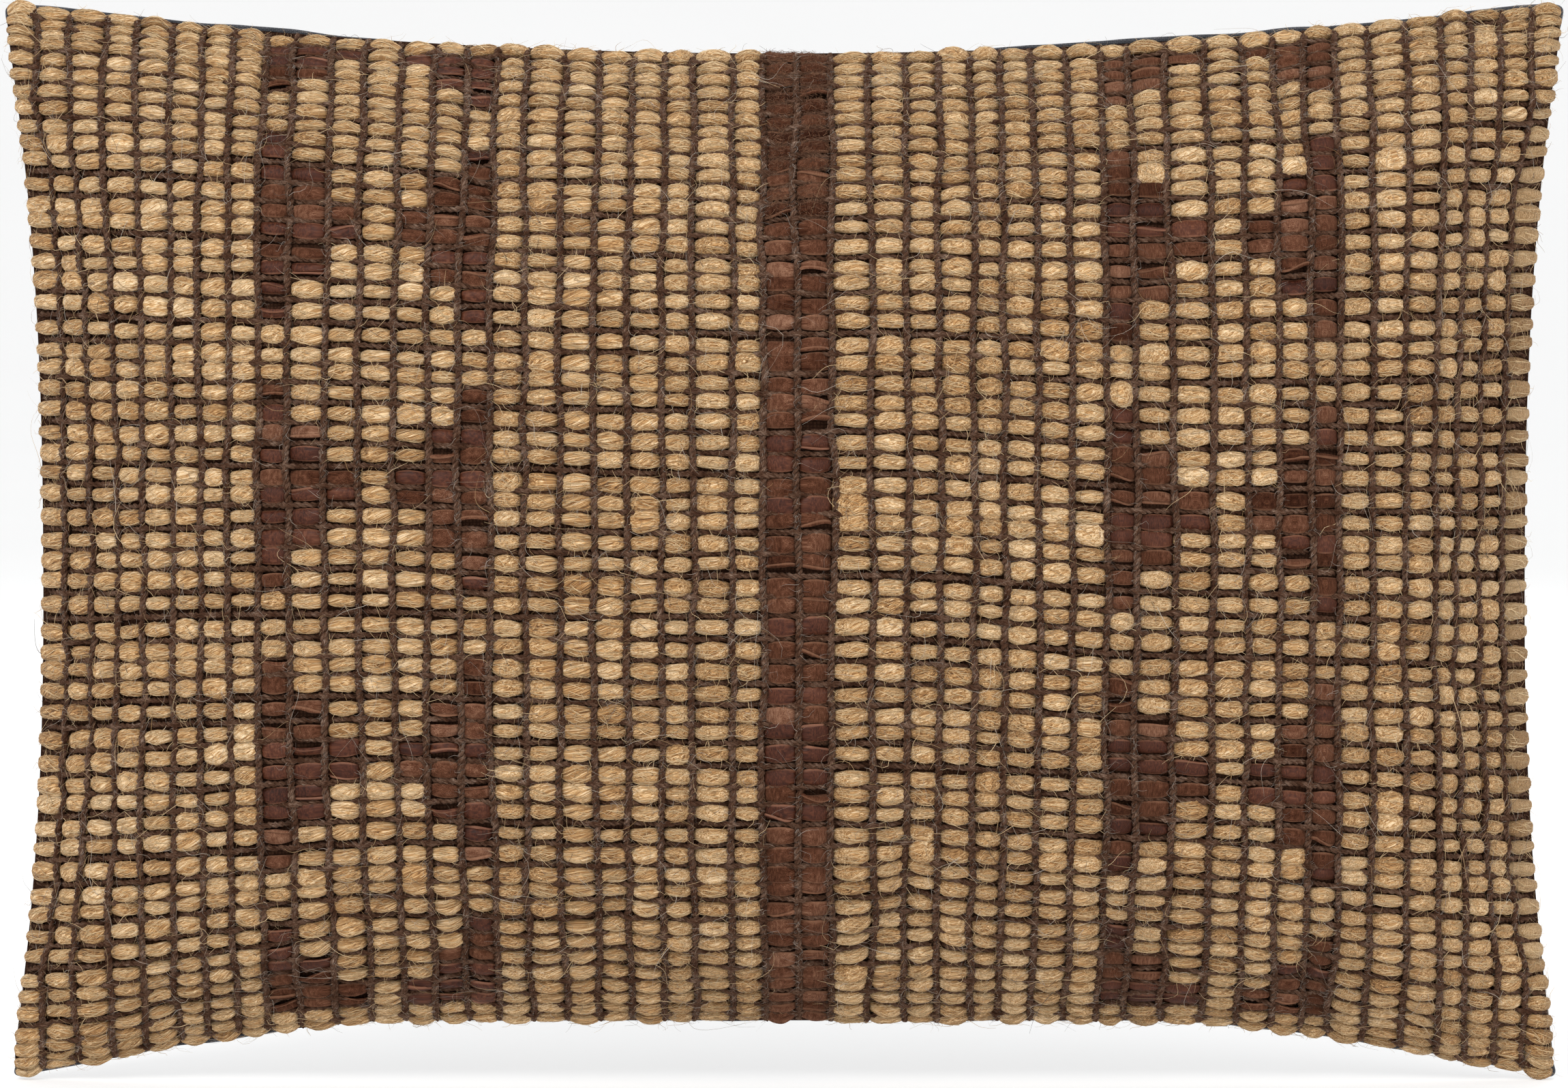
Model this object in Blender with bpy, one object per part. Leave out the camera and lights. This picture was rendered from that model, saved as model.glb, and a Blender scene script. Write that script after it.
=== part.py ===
"""Lumbar throw pillow: a handwoven jute and leather front, a cotton back, a loose insert and a zip.

Metres, +Z up. X runs across the pillow and Y through it, with the woven front towards -Y.
The origin is under the middle of the pillow's box, level with its two lower corners.

Every cloth layer is a slab over the pillow's outline. A place on the outline is named by two cloth
coordinates, u from -1 at the left seam to 1 at the right, and v from -1 at the bottom seam to 1 at
the top. The front is woven on a grid of tie cords (columns) and weft rows, and the slabs of jute
and leather on it end at those cords and rows.
"""

import math

import bmesh
import bpy

# Outline of the stuffed cover
WIDTH = 0.493               # over the corners, before they are rounded
HEIGHT = 0.341              # over the corners, before they are rounded
HALF_DEPTH = 0.066          # seam plane to the crown, front and back
SIDE_SAG = 0.0115           # how far each side seam pulls in at half height
TOP_SAG = 0.0157            # how far the top seam dips at its middle
BOTTOM_SAG = 0.0176         # how far the bottom seam lifts along its straight middle
BOTTOM_STRAIGHT = 0.5       # share of the bottom seam that stays straight
CORNER_PULL = 0.0018        # how far a rounded corner sits inside the sharp one
CORNER_POWER = 30
CROWN_POWER = 0.55          # 0.5 is an elliptical edge, 1 a sharp one

# Weave grid of the front
CORDS_LEFT = 24             # columns left of the centre cord
CORDS_RIGHT = 23
ROWS = 55
MIDDLE_ROW = 28.7           # row line at half height, counted from the top
COLUMN_BOW = 0.04           # share that the columns bow outwards by, at half height
ROW_SINK = 0.048            # how much of v the rows sink by on the right
SINK_FROM = 0.10            # u where the rows start to sink
SINK_WIDTH = 0.45
CENTRE_CORD_U = 0.017       # the centre cord stands a little right of the middle
BAND_REACH = 1              # the centre leather band covers this many columns each side
MOTIF_NEAR = 9              # column lines where a side motif starts and ends
MOTIF_FAR = 16
MOTIF_STARTS = (-4, 8, 21, 34, 47)      # row lines where the leather steps start over
MOTIF_ENDS = (5, 18, 31, 44, 53)        # row lines where the steps end
MOTIF_STEPS = ((0, 2, 1), (2, 4, 2), (4, 6, 3), (6, 8, 2), (8, 10, 1))   # rows, columns wide
HEM_TOP = 1                 # no leather step starts above this row line

# Grid lines that the cloth slabs are cut on
CORD_LINES = (-24, -23, -22, -20, -18, -16, -15, -14, -13, -12, -11, -10, -9, -5, -1,
              1, 5, 9, 10, 11, 12, 13, 14, 15, 16, 18, 20, 22, 23)
ROW_LINES = (55, 54, 53, 51, 49, 47, 44, 42, 40, 38, 36, 34, 31, 29, 27, 25, 23, 21,
             18, 16, 14, 12, 10, 8, 5, 4, 2, 1, 0)
BACK_U = (-1, -0.97, -0.91, -0.80, -0.69, -0.62, -0.40, -0.20, 0,
          0.20, 0.40, 0.62, 0.69, 0.80, 0.91, 0.97, 1)
BACK_V = (-1, -0.985, -0.94, -0.86, -0.74, -0.56, -0.36, -0.18, 0,
          0.18, 0.36, 0.56, 0.74, 0.86, 0.94, 0.985, 1)
INSERT_U = (-1, -0.96, -0.86, -0.70, -0.46, -0.20, 0.20, 0.46, 0.70, 0.86, 0.96, 1)
INSERT_V = (-1, -0.96, -0.84, -0.62, -0.30, 0, 0.30, 0.62, 0.84, 0.96, 1)

# Cloth layers, each with the gap of touching solids
GAP = 0.0003
GROUND_THICK = 0.0013
RELIEF_THICK = 0.0032       # jute floats and leather strips above the ground cloth
BACK_THICK = 0.0012
PATCH_PRESS = 0.003         # how far the back's crown is pressed flat where it rests
INSERT_CROWN = 0.0575
INSERT_INSET = 0.007
INSERT_THICK = 0.0006
FILL_CROWN = 0.0545
FILL_INSET = 0.014
BOTTOM_LIFT = 0.014         # the insert starts this far above the bottom seam, clear of the zip

# Zip in the bottom seam
MOUTH_HALF = 0.0038         # half the slot that the zip stands in
MOUTH_END = 0.150
MOUTH_FADE = 0.015
MOUTH_RISE = 0.30           # the panels lean apart over this much of v
TAPE_Z = 0.0222
TAPE_THICK = 0.0004
TAPE_INNER = 0.0006
TAPE_OUTER = 0.0135
COIL_Z = 0.0213
COIL_RADIUS = 0.0006
COIL_Y = 0.0012
COIL_END = 0.1435
STOP_LENGTH = 0.0028
STOP_HALF = 0.0022
SLIDER_X = 0.1370           # the slider's middle with the zip closed
SLIDER_HALF = 0.0045
PLATE_HALF = 0.0032
PLATE_THICK = 0.0008
WEB_HALF = 0.0003
BRIDGE_HALF = 0.0006
BRIDGE_REACH = 0.0034
BRIDGE_BAR = 0.0008
BRIDGE_DROP = 0.0028        # from the lower plate to the bottom of the bridge
PIVOT_DROP = 0.0010         # from the lower plate to the pull's axis
PULL_LENGTH = 0.0138
PULL_HALF = 0.0024
PULL_TIP_HALF = 0.0017
PULL_BAR = 0.00045
PULL_EYE_HALF = 0.0011
PULL_EYE_END = 0.0040

# Seam threads
THREAD_RADIUS = 0.0003
THREAD_INSET = 0.0016
THREAD_POINTS = 20

MATERIALS = {
    "ground": ((0.075, 0.055, 0.045), 0.95, 0.0),
    "jute": ((0.45, 0.30, 0.15), 0.90, 0.0),
    "leather": ((0.095, 0.045, 0.030), 0.60, 0.0),
    "back_cotton": ((0.060, 0.058, 0.062), 0.92, 0.0),
    "ticking": ((0.70, 0.68, 0.63), 0.90, 0.0),
    "fill": ((0.82, 0.81, 0.78), 0.95, 0.0),
    "thread": ((0.10, 0.085, 0.08), 0.70, 0.0),
    "zip_tape": ((0.055, 0.052, 0.055), 0.90, 0.0),
    "zip_coil": ((0.07, 0.065, 0.065), 0.45, 0.0),
    "zip_metal": ((0.30, 0.28, 0.25), 0.35, 1.0),
}


# ---------------------------------------------------------------------------- outline and crown


def side_edge(v):
    """Half the pillow's width at v."""
    return WIDTH / 2 - SIDE_SAG * (1 - abs(v) ** 2.4)


def top_edge(u):
    """Height of the top seam at u."""
    return HEIGHT - TOP_SAG * (1 - u * u)


def bottom_edge(u):
    """Height of the bottom seam at u: straight for the zip, then falling to the corners."""
    fall = max(0.0, (abs(u) - BOTTOM_STRAIGHT) / (1 - BOTTOM_STRAIGHT)) ** 1.4
    return BOTTOM_SAG * (1 - fall)


def drawn(u, v):
    """Where the filled cover pulls u, v to: columns bow out at half height, rows sink on the right."""
    share = min(1.0, max(0.0, (u - SINK_FROM) / SINK_WIDTH))
    sink = ROW_SINK * share * share * (3 - 2 * share)
    middle = 1 - v * v
    return u * (1 + COLUMN_BOW * (1 - u ** 4) * middle), v - sink * middle


def plan(u, v, inset=0.0, lift=0.0):
    """The X and Z of cloth coordinates u, v, on the outline drawn in by inset."""
    u, v = drawn(u, v)
    low = bottom_edge(u) + inset + lift
    high = top_edge(u) - inset
    pull = CORNER_PULL * abs(u * v) ** CORNER_POWER
    x = u * (side_edge(v) - inset) - math.copysign(pull, u)
    z = low + (high - low) * (v + 1) / 2
    if v > 0:
        z -= pull
    return x, z


def crown(u, v):
    """How full the pillow is at u, v, from 0 at the seam to 1 at the middle."""
    room = max(0.0, 1 - u * u) * max(0.0, 1 - v * v)
    return room ** CROWN_POWER


def mouth(u, v):
    """How far the panels' edges stand from the seam plane, apart where the zip comes through."""
    x = abs(plan(u, -1.0)[0])
    along = min(1.0, max(0.0, (MOUTH_END + MOUTH_FADE - x) / MOUTH_FADE))
    up = max(0.0, 1 - (v + 1) / MOUTH_RISE)
    return GAP / 2 + (MOUTH_HALF - GAP / 2) * along * up


def cord_u(line):
    """u of a tie cord, counted from the centre cord, left negative."""
    count = CORDS_RIGHT if line > 0 else CORDS_LEFT
    side = math.copysign(1.0, line)
    return CENTRE_CORD_U + side * (1 - side * CENTRE_CORD_U) * abs(line) / count


def row_v(line):
    """v of a row line, counted from 0 at the top seam to ROWS at the bottom."""
    if line <= MIDDLE_ROW:
        share = (MIDDLE_ROW - line) / MIDDLE_ROW
        return share * (1 + 0.14 * (1 - share ** 4))
    share = (line - MIDDLE_ROW) / (ROWS - MIDDLE_ROW)
    return -share * (1 + 0.10 * (1 - share ** 8))


# --------------------------------------------------------------------------------- mesh helpers


def material(name):
    """The material called name, made on first use."""
    made = bpy.data.materials.get(name)
    if made is None:
        colour, roughness, metallic = MATERIALS[name]
        made = bpy.data.materials.new(name)
        made.use_nodes = True
        shader = made.node_tree.nodes["Principled BSDF"]
        shader.inputs["Base Color"].default_value = (*colour, 1.0)
        shader.inputs["Roughness"].default_value = roughness
        shader.inputs["Metallic"].default_value = metallic
        made.diffuse_color = (*colour, 1.0)
    return made


def mesh_from(name, points, faces):
    """A mesh with its faces pointing out."""
    mesh = bpy.data.meshes.new(name)
    mesh.from_pydata([tuple(p) for p in points], [], faces)
    edit = bmesh.new()
    edit.from_mesh(mesh)
    bmesh.ops.recalc_face_normals(edit, faces=edit.faces)
    edit.to_mesh(mesh)
    edit.free()
    return mesh


def add_object(name, data, material_name=None, location=(0, 0, 0)):
    """A new object, which is a cutter or an adder when it has no material."""
    made = bpy.data.objects.new(name, data)
    made.location = location
    bpy.context.scene.collection.objects.link(made)
    if material_name:
        data.materials.append(material(material_name))
    else:
        made.hide_render = True
        made.display_type = "WIRE"
    return made


class Grid:
    """Lines of u and v, both rising, that slabs are cut on."""

    def __init__(self, us, vs):
        self.us = us
        self.vs = vs

    def cells(self):
        return {(i, j) for i in range(len(self.us) - 1) for j in range(len(self.vs) - 1)}

    def diagonal_falls(self, i, j):
        """Every layer splits a cell the same way, so that thin layers never cross."""
        return (self.us[i] >= 0) == (self.vs[j] >= 0)


def border_shift(i, j, cells):
    """Which way along i and j a corner moves to draw the border of a set of cells in."""
    low_left, low_right = (i - 1, j - 1) in cells, (i, j - 1) in cells
    up_left, up_right = (i - 1, j) in cells, (i, j) in cells
    rightward = low_right + up_right - low_left - up_left
    upward = up_left + up_right - low_left - low_right
    return (rightward > 0) - (rightward < 0), (upward > 0) - (upward < 0)


def slab(name, grid, cells, near, far, material_name, outline=plan, inset=0.0):
    """One closed slab over grid cells, from Y near(u, v) to far(u, v), its border drawn in."""
    corners = sorted({(i + a, j + b) for i, j in cells for a in (0, 1) for b in (0, 1)})
    index = {corner: n for n, corner in enumerate(corners)}
    count = len(corners)
    points = []
    for surface in (near, far):
        for i, j in corners:
            along_i, along_j = border_shift(i, j, cells)
            u = min(1.0, max(-1.0, grid.us[i] + along_i * inset / (WIDTH / 2)))
            v = min(1.0, max(-1.0, grid.vs[j] + along_j * inset / (HEIGHT / 2)))
            x, z = outline(u, v)
            points.append((x, surface(u, v), z))
    faces = []
    for i, j in sorted(cells):
        a, b = index[i, j], index[i + 1, j]
        c, d = index[i + 1, j + 1], index[i, j + 1]
        halves = ((a, b, d), (b, c, d)) if grid.diagonal_falls(i, j) else ((a, b, c), (a, c, d))
        for p, q, r in halves:
            faces.append((p, q, r))
            faces.append((count + r, count + q, count + p))
        for p, q, beside in ((a, b, (i, j - 1)), (b, c, (i + 1, j)),
                             (c, d, (i, j + 1)), (d, a, (i - 1, j))):
            if beside not in cells:
                faces.append((q, p, count + p, count + q))
    return add_object(name, mesh_from(name, points, faces), material_name)


def box_mesh(name, low, high):
    """A closed box between two corners."""
    points = [(x, y, z) for x in (low[0], high[0]) for y in (low[1], high[1])
              for z in (low[2], high[2])]
    faces = [(0, 1, 3, 2), (4, 6, 7, 5), (0, 4, 5, 1), (2, 3, 7, 6), (0, 2, 6, 4), (1, 5, 7, 3)]
    return mesh_from(name, points, faces)


def joined_boxes(name, boxes, material_name, location=(0, 0, 0)):
    """Boxes that overlap, made into one body."""
    base = add_object(name, box_mesh(name, *boxes[0]), material_name, location)
    for n, corners in enumerate(boxes[1:], start=1):
        adder = add_object(f"{name}_adder_{n}", box_mesh(name, *corners), None, location)
        union = base.modifiers.new(f"union_{n}", "BOOLEAN")
        union.operation = "UNION"
        union.solver = "EXACT"
        union.object = adder
    return base


def tube(name, points, radius, material_name):
    """A thread or coil along points, as a closed tube."""
    curve = bpy.data.curves.new(name, "CURVE")
    curve.dimensions = "3D"
    curve.bevel_depth = radius
    curve.bevel_resolution = 1
    curve.use_fill_caps = True
    spline = curve.splines.new("POLY")
    spline.points.add(len(points) - 1)
    for slot, point in zip(spline.points, points):
        slot.co = (*point, 1.0)
    return add_object(name, curve, material_name)


# ------------------------------------------------------------------------------------ the cover


def front_layer(depth):
    """Y of a surface of the front, depth outside the innermost one."""
    rise = HALF_DEPTH - GAP / 2 - GROUND_THICK - GAP - RELIEF_THICK
    return lambda u, v: -(mouth(u, v) + rise * crown(u, v) + depth)


def back_layer(depth):
    """Y of a surface of the back, pressed flat at its crown."""
    flat = HALF_DEPTH - GAP / 2 - BACK_THICK
    return lambda u, v: mouth(u, v) + min(flat, (flat + PATCH_PRESS) * crown(u, v)) + depth


def cells_between(grid_lines, row_lines, left, right, top, bottom):
    """Cells of the weave grid between two column lines and two row lines."""
    columns = range(grid_lines.index(left), grid_lines.index(right))
    rows = range(row_lines.index(bottom), row_lines.index(top))
    return {(i, j) for i in columns for j in rows}


def motif_blocks(side):
    """Cells of each stepped leather block of one motif, by name, and which edge it grows from."""
    blocks = {}
    for n, (start, end) in enumerate(zip(MOTIF_STARTS, MOTIF_ENDS), start=1):
        for edge, grows in ((MOTIF_FAR, -1), (MOTIF_NEAR, 1)):
            cells = set()
            for first, last, columns in MOTIF_STEPS:
                top = max(HEM_TOP, start + first)
                bottom = min(end, start + last)
                if top < bottom:
                    left, right = sorted((side * edge, side * (edge + grows * columns)))
                    cells |= cells_between(CORD_LINES, ROW_LINES, left, right, top, bottom)
            place = "outer" if edge == MOTIF_FAR else "inner"
            blocks[f"{place}_{n}"] = cells
    return blocks


def build_front():
    """Ground cloth, and on it the fields of jute floats and the leather blocks laid among them."""
    grid = Grid([cord_u(line) for line in CORD_LINES], [row_v(line) for line in ROW_LINES])
    under = front_layer(GROUND_THICK + GAP)
    over = front_layer(GROUND_THICK + GAP + RELIEF_THICK)

    def relief(name, cells, material_name):
        slab(name, grid, cells, over, under, material_name, inset=GAP / 2)

    def strip(left, right):
        return cells_between(CORD_LINES, ROW_LINES, left, right, 0, ROWS)

    slab("front_ground_cloth", grid, grid.cells(), front_layer(GROUND_THICK), front_layer(0),
         "ground")
    relief("leather_band_centre", strip(-BAND_REACH, BAND_REACH), "leather")
    for side, hand, outer in ((-1, "left", -CORDS_LEFT), (1, "right", CORDS_RIGHT)):
        far, near = side * MOTIF_FAR, side * MOTIF_NEAR
        relief(f"jute_field_{hand}", strip(*sorted((outer, far))), "jute")
        relief(f"jute_field_{hand}_inner", strip(*sorted((near, side * BAND_REACH))), "jute")
        motif = strip(*sorted((far, near)))
        for place, cells in motif_blocks(side).items():
            relief(f"leather_{hand}_{place}", cells, "leather")
            motif -= cells
        relief(f"jute_motif_{hand}", motif, "jute")


def build_back():
    grid = Grid(BACK_U, BACK_V)
    slab("back_panel", grid, grid.cells(), back_layer(0), back_layer(BACK_THICK), "back_cotton")


def build_threads():
    """The seam's thread, on the seam plane just inside the edge, left out where the zip is."""
    share = [n / (THREAD_POINTS - 1) for n in range(THREAD_POINTS)]
    ends = 0.96
    zip_u = (MOUTH_END + MOUTH_FADE) / side_edge(-1.0)
    routes = {
        "seam_thread_top": [(ends * (2 * s - 1), 1.0) for s in share],
        "seam_thread_left": [(-1.0, ends * (2 * s - 1)) for s in share],
        "seam_thread_right": [(1.0, ends * (2 * s - 1)) for s in share],
        "seam_thread_bottom_left": [(-ends + (ends - zip_u) * s, -1.0) for s in share[::2]],
        "seam_thread_bottom_right": [(zip_u + (ends - zip_u) * s, -1.0) for s in share[::2]],
    }
    for name, route in routes.items():
        points = [plan(u, v, inset=THREAD_INSET) for u, v in route]
        tube(name, [(x, 0.0, z) for x, z in points], THREAD_RADIUS, "thread")


# ----------------------------------------------------------------------------------- the insert


def build_insert():
    """Two ticking shells, closed by a thread, around the fill."""
    grid = Grid(INSERT_U, INSERT_V)

    def shell_plan(u, v):
        return plan(u, v, INSERT_INSET, BOTTOM_LIFT)

    def fill_plan(u, v):
        return plan(u, v, FILL_INSET, BOTTOM_LIFT)

    def layer(side, rise, depth):
        return lambda u, v: side * (GAP / 2 + rise * crown(u, v) + depth)

    for side, name in ((-1, "insert_shell_front"), (1, "insert_shell_back")):
        slab(name, grid, grid.cells(), layer(side, INSERT_CROWN, INSERT_THICK),
             layer(side, INSERT_CROWN, 0), "ticking", outline=shell_plan)
    slab("insert_fill", grid, grid.cells(), layer(-1, FILL_CROWN, 0),
         layer(1, FILL_CROWN, 0), "fill", outline=fill_plan)
    share = [n / (THREAD_POINTS - 1) for n in range(THREAD_POINTS)]
    closing = [plan(0.5 * (s - 0.5), 1.0, INSERT_INSET - THREAD_INSET, BOTTOM_LIFT) for s in share]
    tube("insert_closing_thread", [(x, 0.0, z) for x, z in closing], THREAD_RADIUS, "thread")


# -------------------------------------------------------------------------------------- the zip


def build_zip():
    """Two tapes with their coils, a stop at each end, the slider and its pull."""
    for side, name in ((-1, "front"), (1, "back")):
        inner, outer = sorted((side * TAPE_INNER, side * TAPE_OUTER))
        add_object(f"zip_tape_{name}",
                   box_mesh(f"zip_tape_{name}", (-MOUTH_END, inner, TAPE_Z),
                            (MOUTH_END, outer, TAPE_Z + TAPE_THICK)), "zip_tape")
        tube(f"zip_coil_{name}", [(-COIL_END, side * COIL_Y, COIL_Z),
                                  (COIL_END, side * COIL_Y, COIL_Z)], COIL_RADIUS, "zip_coil")
    stop_low, stop_high = COIL_Z - COIL_RADIUS, TAPE_Z - GAP
    for side, name in ((-1, "zip_stop_open_end"), (1, "zip_stop_closed_end")):
        start = side * (COIL_END + GAP)
        left, right = sorted((start, start + side * STOP_LENGTH))
        add_object(name, box_mesh(name, (left, -STOP_HALF, stop_low), (right, STOP_HALF, stop_high)),
                   "zip_metal")


def build_slider():
    """An I section that the coils run through, with the pull's bridge under it."""
    lower_top = COIL_Z - COIL_RADIUS - GAP
    lower = lower_top - PLATE_THICK
    upper = TAPE_Z + TAPE_THICK + GAP
    bridge = lower - BRIDGE_DROP
    leg_inner = BRIDGE_REACH - BRIDGE_BAR
    bite = PLATE_THICK / 2

    def around(half_x, half_y, low, high):
        return (-half_x, -half_y, low), (half_x, half_y, high)

    boxes = [
        around(SLIDER_HALF, PLATE_HALF, lower, lower_top),
        around(SLIDER_HALF - GAP, WEB_HALF, lower_top - bite, upper + bite),
        around(SLIDER_HALF, PLATE_HALF, upper, upper + PLATE_THICK),
        around(BRIDGE_REACH, BRIDGE_HALF, bridge, bridge + BRIDGE_BAR),
        ((-BRIDGE_REACH, -BRIDGE_HALF, bridge + bite), (-leg_inner, BRIDGE_HALF, lower + bite)),
        ((leg_inner, -BRIDGE_HALF, bridge + bite), (BRIDGE_REACH, BRIDGE_HALF, lower + bite)),
    ]
    joined_boxes("zip_slider", boxes, "zip_metal", location=(SLIDER_X, 0, 0))
    build_pull(lower - PIVOT_DROP)


def build_pull(pivot_z):
    """A tapered tab, its eye around the bridge, lying along the seam towards the middle."""
    columns = (-PULL_LENGTH, -PULL_EYE_END, -PULL_BAR, PULL_BAR)
    halves = (PULL_TIP_HALF, PULL_HALF, PULL_HALF, PULL_HALF)
    eye = (1, 1)
    points = []
    for z in (-PULL_BAR, PULL_BAR):
        for x, half in zip(columns, halves):
            points += [(x, y, z) for y in (-half, -PULL_EYE_HALF, PULL_EYE_HALF, half)]
    layer = len(points) // 2
    cells = {(i, j) for i in range(3) for j in range(3)} - {eye}
    faces = []
    for i, j in sorted(cells):
        a, b, c, d = 4 * i + j, 4 * i + j + 1, 4 * i + j + 5, 4 * i + j + 4
        faces.append((a, b, c, d))
        faces.append((layer + d, layer + c, layer + b, layer + a))
        for p, q, beside in ((a, b, (i - 1, j)), (b, c, (i, j + 1)),
                             (c, d, (i + 1, j)), (d, a, (i, j - 1))):
            if beside not in cells:
                faces.append((q, p, layer + p, layer + q))
    add_object("zip_pull", mesh_from("zip_pull", points, faces), "zip_metal",
               location=(SLIDER_X, 0, pivot_z))


def main():
    for old in list(bpy.data.objects):
        bpy.data.objects.remove(old, do_unlink=True)
    build_front()
    build_back()
    build_threads()
    build_insert()
    build_zip()
    build_slider()


main()
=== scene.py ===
"""Looks of the throw pillow: a handwoven jute and leather front, a charcoal cotton back,
a zip in the bottom seam and a loose insert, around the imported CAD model.

The front is woven here for real. Column lines (the dark tie cords) and row lines number the
weave as in the CAD, a cloth simulation gives the pillow's form, and every jute float, leather
strip, cord and stray fibre is laid on that form by its column and row.
"""

import math

import bmesh
import bpy
import numpy as np
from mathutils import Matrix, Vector


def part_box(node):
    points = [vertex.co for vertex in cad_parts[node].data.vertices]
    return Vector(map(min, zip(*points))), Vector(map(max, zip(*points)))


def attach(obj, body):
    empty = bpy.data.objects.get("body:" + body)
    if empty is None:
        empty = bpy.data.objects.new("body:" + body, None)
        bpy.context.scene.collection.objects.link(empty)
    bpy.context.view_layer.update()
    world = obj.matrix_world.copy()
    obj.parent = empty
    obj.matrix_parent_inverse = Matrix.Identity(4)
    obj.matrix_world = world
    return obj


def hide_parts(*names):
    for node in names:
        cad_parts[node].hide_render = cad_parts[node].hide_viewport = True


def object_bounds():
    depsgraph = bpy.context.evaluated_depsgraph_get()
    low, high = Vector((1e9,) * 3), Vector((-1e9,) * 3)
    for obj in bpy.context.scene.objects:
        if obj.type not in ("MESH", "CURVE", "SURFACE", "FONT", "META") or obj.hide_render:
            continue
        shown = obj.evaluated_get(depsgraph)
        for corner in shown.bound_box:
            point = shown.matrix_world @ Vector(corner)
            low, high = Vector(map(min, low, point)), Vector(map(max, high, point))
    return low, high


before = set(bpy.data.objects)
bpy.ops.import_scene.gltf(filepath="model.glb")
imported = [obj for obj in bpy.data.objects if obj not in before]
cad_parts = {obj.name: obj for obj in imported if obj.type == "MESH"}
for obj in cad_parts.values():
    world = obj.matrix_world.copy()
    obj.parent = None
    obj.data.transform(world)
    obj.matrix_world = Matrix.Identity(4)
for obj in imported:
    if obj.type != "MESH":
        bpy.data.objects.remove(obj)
cad_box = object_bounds()
rng = np.random.default_rng(20)

# ------------------------------------------------------------------ driving sizes, in metres
WIDTH = 0.493               # corner to corner, before the corners are rounded, as in the CAD
HEIGHT = 0.341
HALF_DEPTH = 0.066
SIDE_SAG = 0.0115           # how far each edge's middle draws in
TOP_SAG = 0.0157
BOTTOM_SAG = 0.0176
BOTTOM_STRAIGHT = 0.5
CORNER_PULL = 0.0018
CORNER_POWER = 30
CROWN_POWER = 0.55
GAP = 0.0003
EDGE_INSET = 0.0016         # the floats stand this far beyond the cloth at the seam
CLOTH_THICK = 0.0010
RELIEF = 0.0032             # height of the floats over the cloth

COLUMN_FIRST = -24          # cord line at the left seam
COLUMN_LAST = 23
ROWS = 55
MIDDLE_ROW = 28.7
COLUMN_BOW = 0.04           # share that the columns bow outwards by, at half height
ROW_SINK = 0.048            # how much of v the rows sink by on the right
SINK_FROM = 0.10            # u where the rows start to sink
SINK_WIDTH = 0.45
CENTRE_CORD_U = 0.017
BAND_REACH = 1
MOTIF_NEAR = 9
MOTIF_FAR = 16
MOTIF_STARTS = (-4, 8, 21, 34, 47)
MOTIF_ENDS = (5, 18, 31, 44, 53)
MOTIF_STEPS = ((0, 2, 1), (2, 4, 2), (4, 6, 3), (6, 8, 2), (8, 10, 1))
HEM_TOP = 1

MOUTH_END = 0.150           # the seam stands open this far each side of the middle, for the zip
MOUTH_FADE = 0.015
MOUTH_RISE = 0.30
MOUTH_HALF = 0.0038

GRID_STEP = 0.5             # columns between two points of the simulated cloth
ROW_STEP = 0.625            # rows between two points of it
SIM_FRAMES = 20
SIM_CAP = 0.006             # how far the simulation may move a point

FLOAT_HALF_TALL = 0.00256   # a jute float's half height across the rows, and half thickness
FLOAT_HALF_THICK = 0.00165
FLOAT_PITCH_SHARE = 0.385   # half height that a float would have from the row pitch alone
FLOAT_SINK = 0.0003         # a float's middle line: this far under the cloth at a cord,
FLOAT_LIFT = 0.00165        # and this much higher in its middle
FIBRE_ROUND = 0.0022 / 0.00042      # scale of the jute's streaks round a float
FIBRE_LONG = 0.0036                 # and along it
FLOAT_SIDES = 26
FLOAT_STEPS = 12            # sections to one float
CORD_STRAND = 0.00068       # a tie cord is two strands twisted together
CORD_LIFT = 0.00165         # a cord's middle line over the cloth
CORD_RIDE = 0.00030         # how much higher it rides over a float, and lower between two
CORD_DIVE = 0.0008          # how far it dives under the cloth at the seam
CORD_STEPS = 10
CORD_SIDES = 5
CORD_TWIST = 1.7            # turns of the two strands in one row
GROUND_YARN = 0.00062       # each of the ground weft's two strands
GROUND_LIFT = 0.0009
GROUND_WAVE = 0.00135       # how far it goes over one cord and under the next
GROUND_DIVE = 0.0010
GROUND_TWIST = 2.6          # turns of them in one column
GROUND_STEPS = 10
GROUND_SIDES = 5
WIDE_COLUMNS = {-1: 1.0, 0: 1.0, 1: 1.16, 2: 1.06}      # the floats beside the band are longer

UNEVEN_WIDTHS = 0.08        # share that the columns' widths vary by
ROWS_PER_PIECE = 4
CORDS_PER_PIECE = 8
GROUND_PIECES = 5

HAIRY_ROWS = (0, 1, 2, 3, 4, 5, 6, 7, 8, 10, 11)      # of the band, where the nap stands up
NAP_PER_CELL = 230
STRIP_SIDES = 20
STRIP_STEPS = 16            # sections to one column of a strip
STRIP_HALF_MOST = 0.0031
STRIP_HALF_THICK = 0.00048
STRIP_SINK = 0.0002         # a strip's middle line: this far under the cloth at a cord,
STRIP_LIFT = 0.00225        # and this much higher in its middle
STRIP_CURL = (0.0005, 0.0014)       # how far its edges curl down, least and most
GRAIN_SHARES = (0.30, 0.45)         # strips that show their smooth side, in band and motifs
FOLD_SHARES = (0.12, 0.26)          # strips with a folded edge, hairy ones and others
SKIN_SCALE = 0.0004
BAND_WIDTHS = (0.80, 1.0)   # a strip's width, as a share of the row pitch
MOTIF_WIDTHS = (0.62, 0.93)
FOLD_RADIUS = 0.0006
FOLD_MOST = 2.5             # radians that a folded edge turns over

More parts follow.
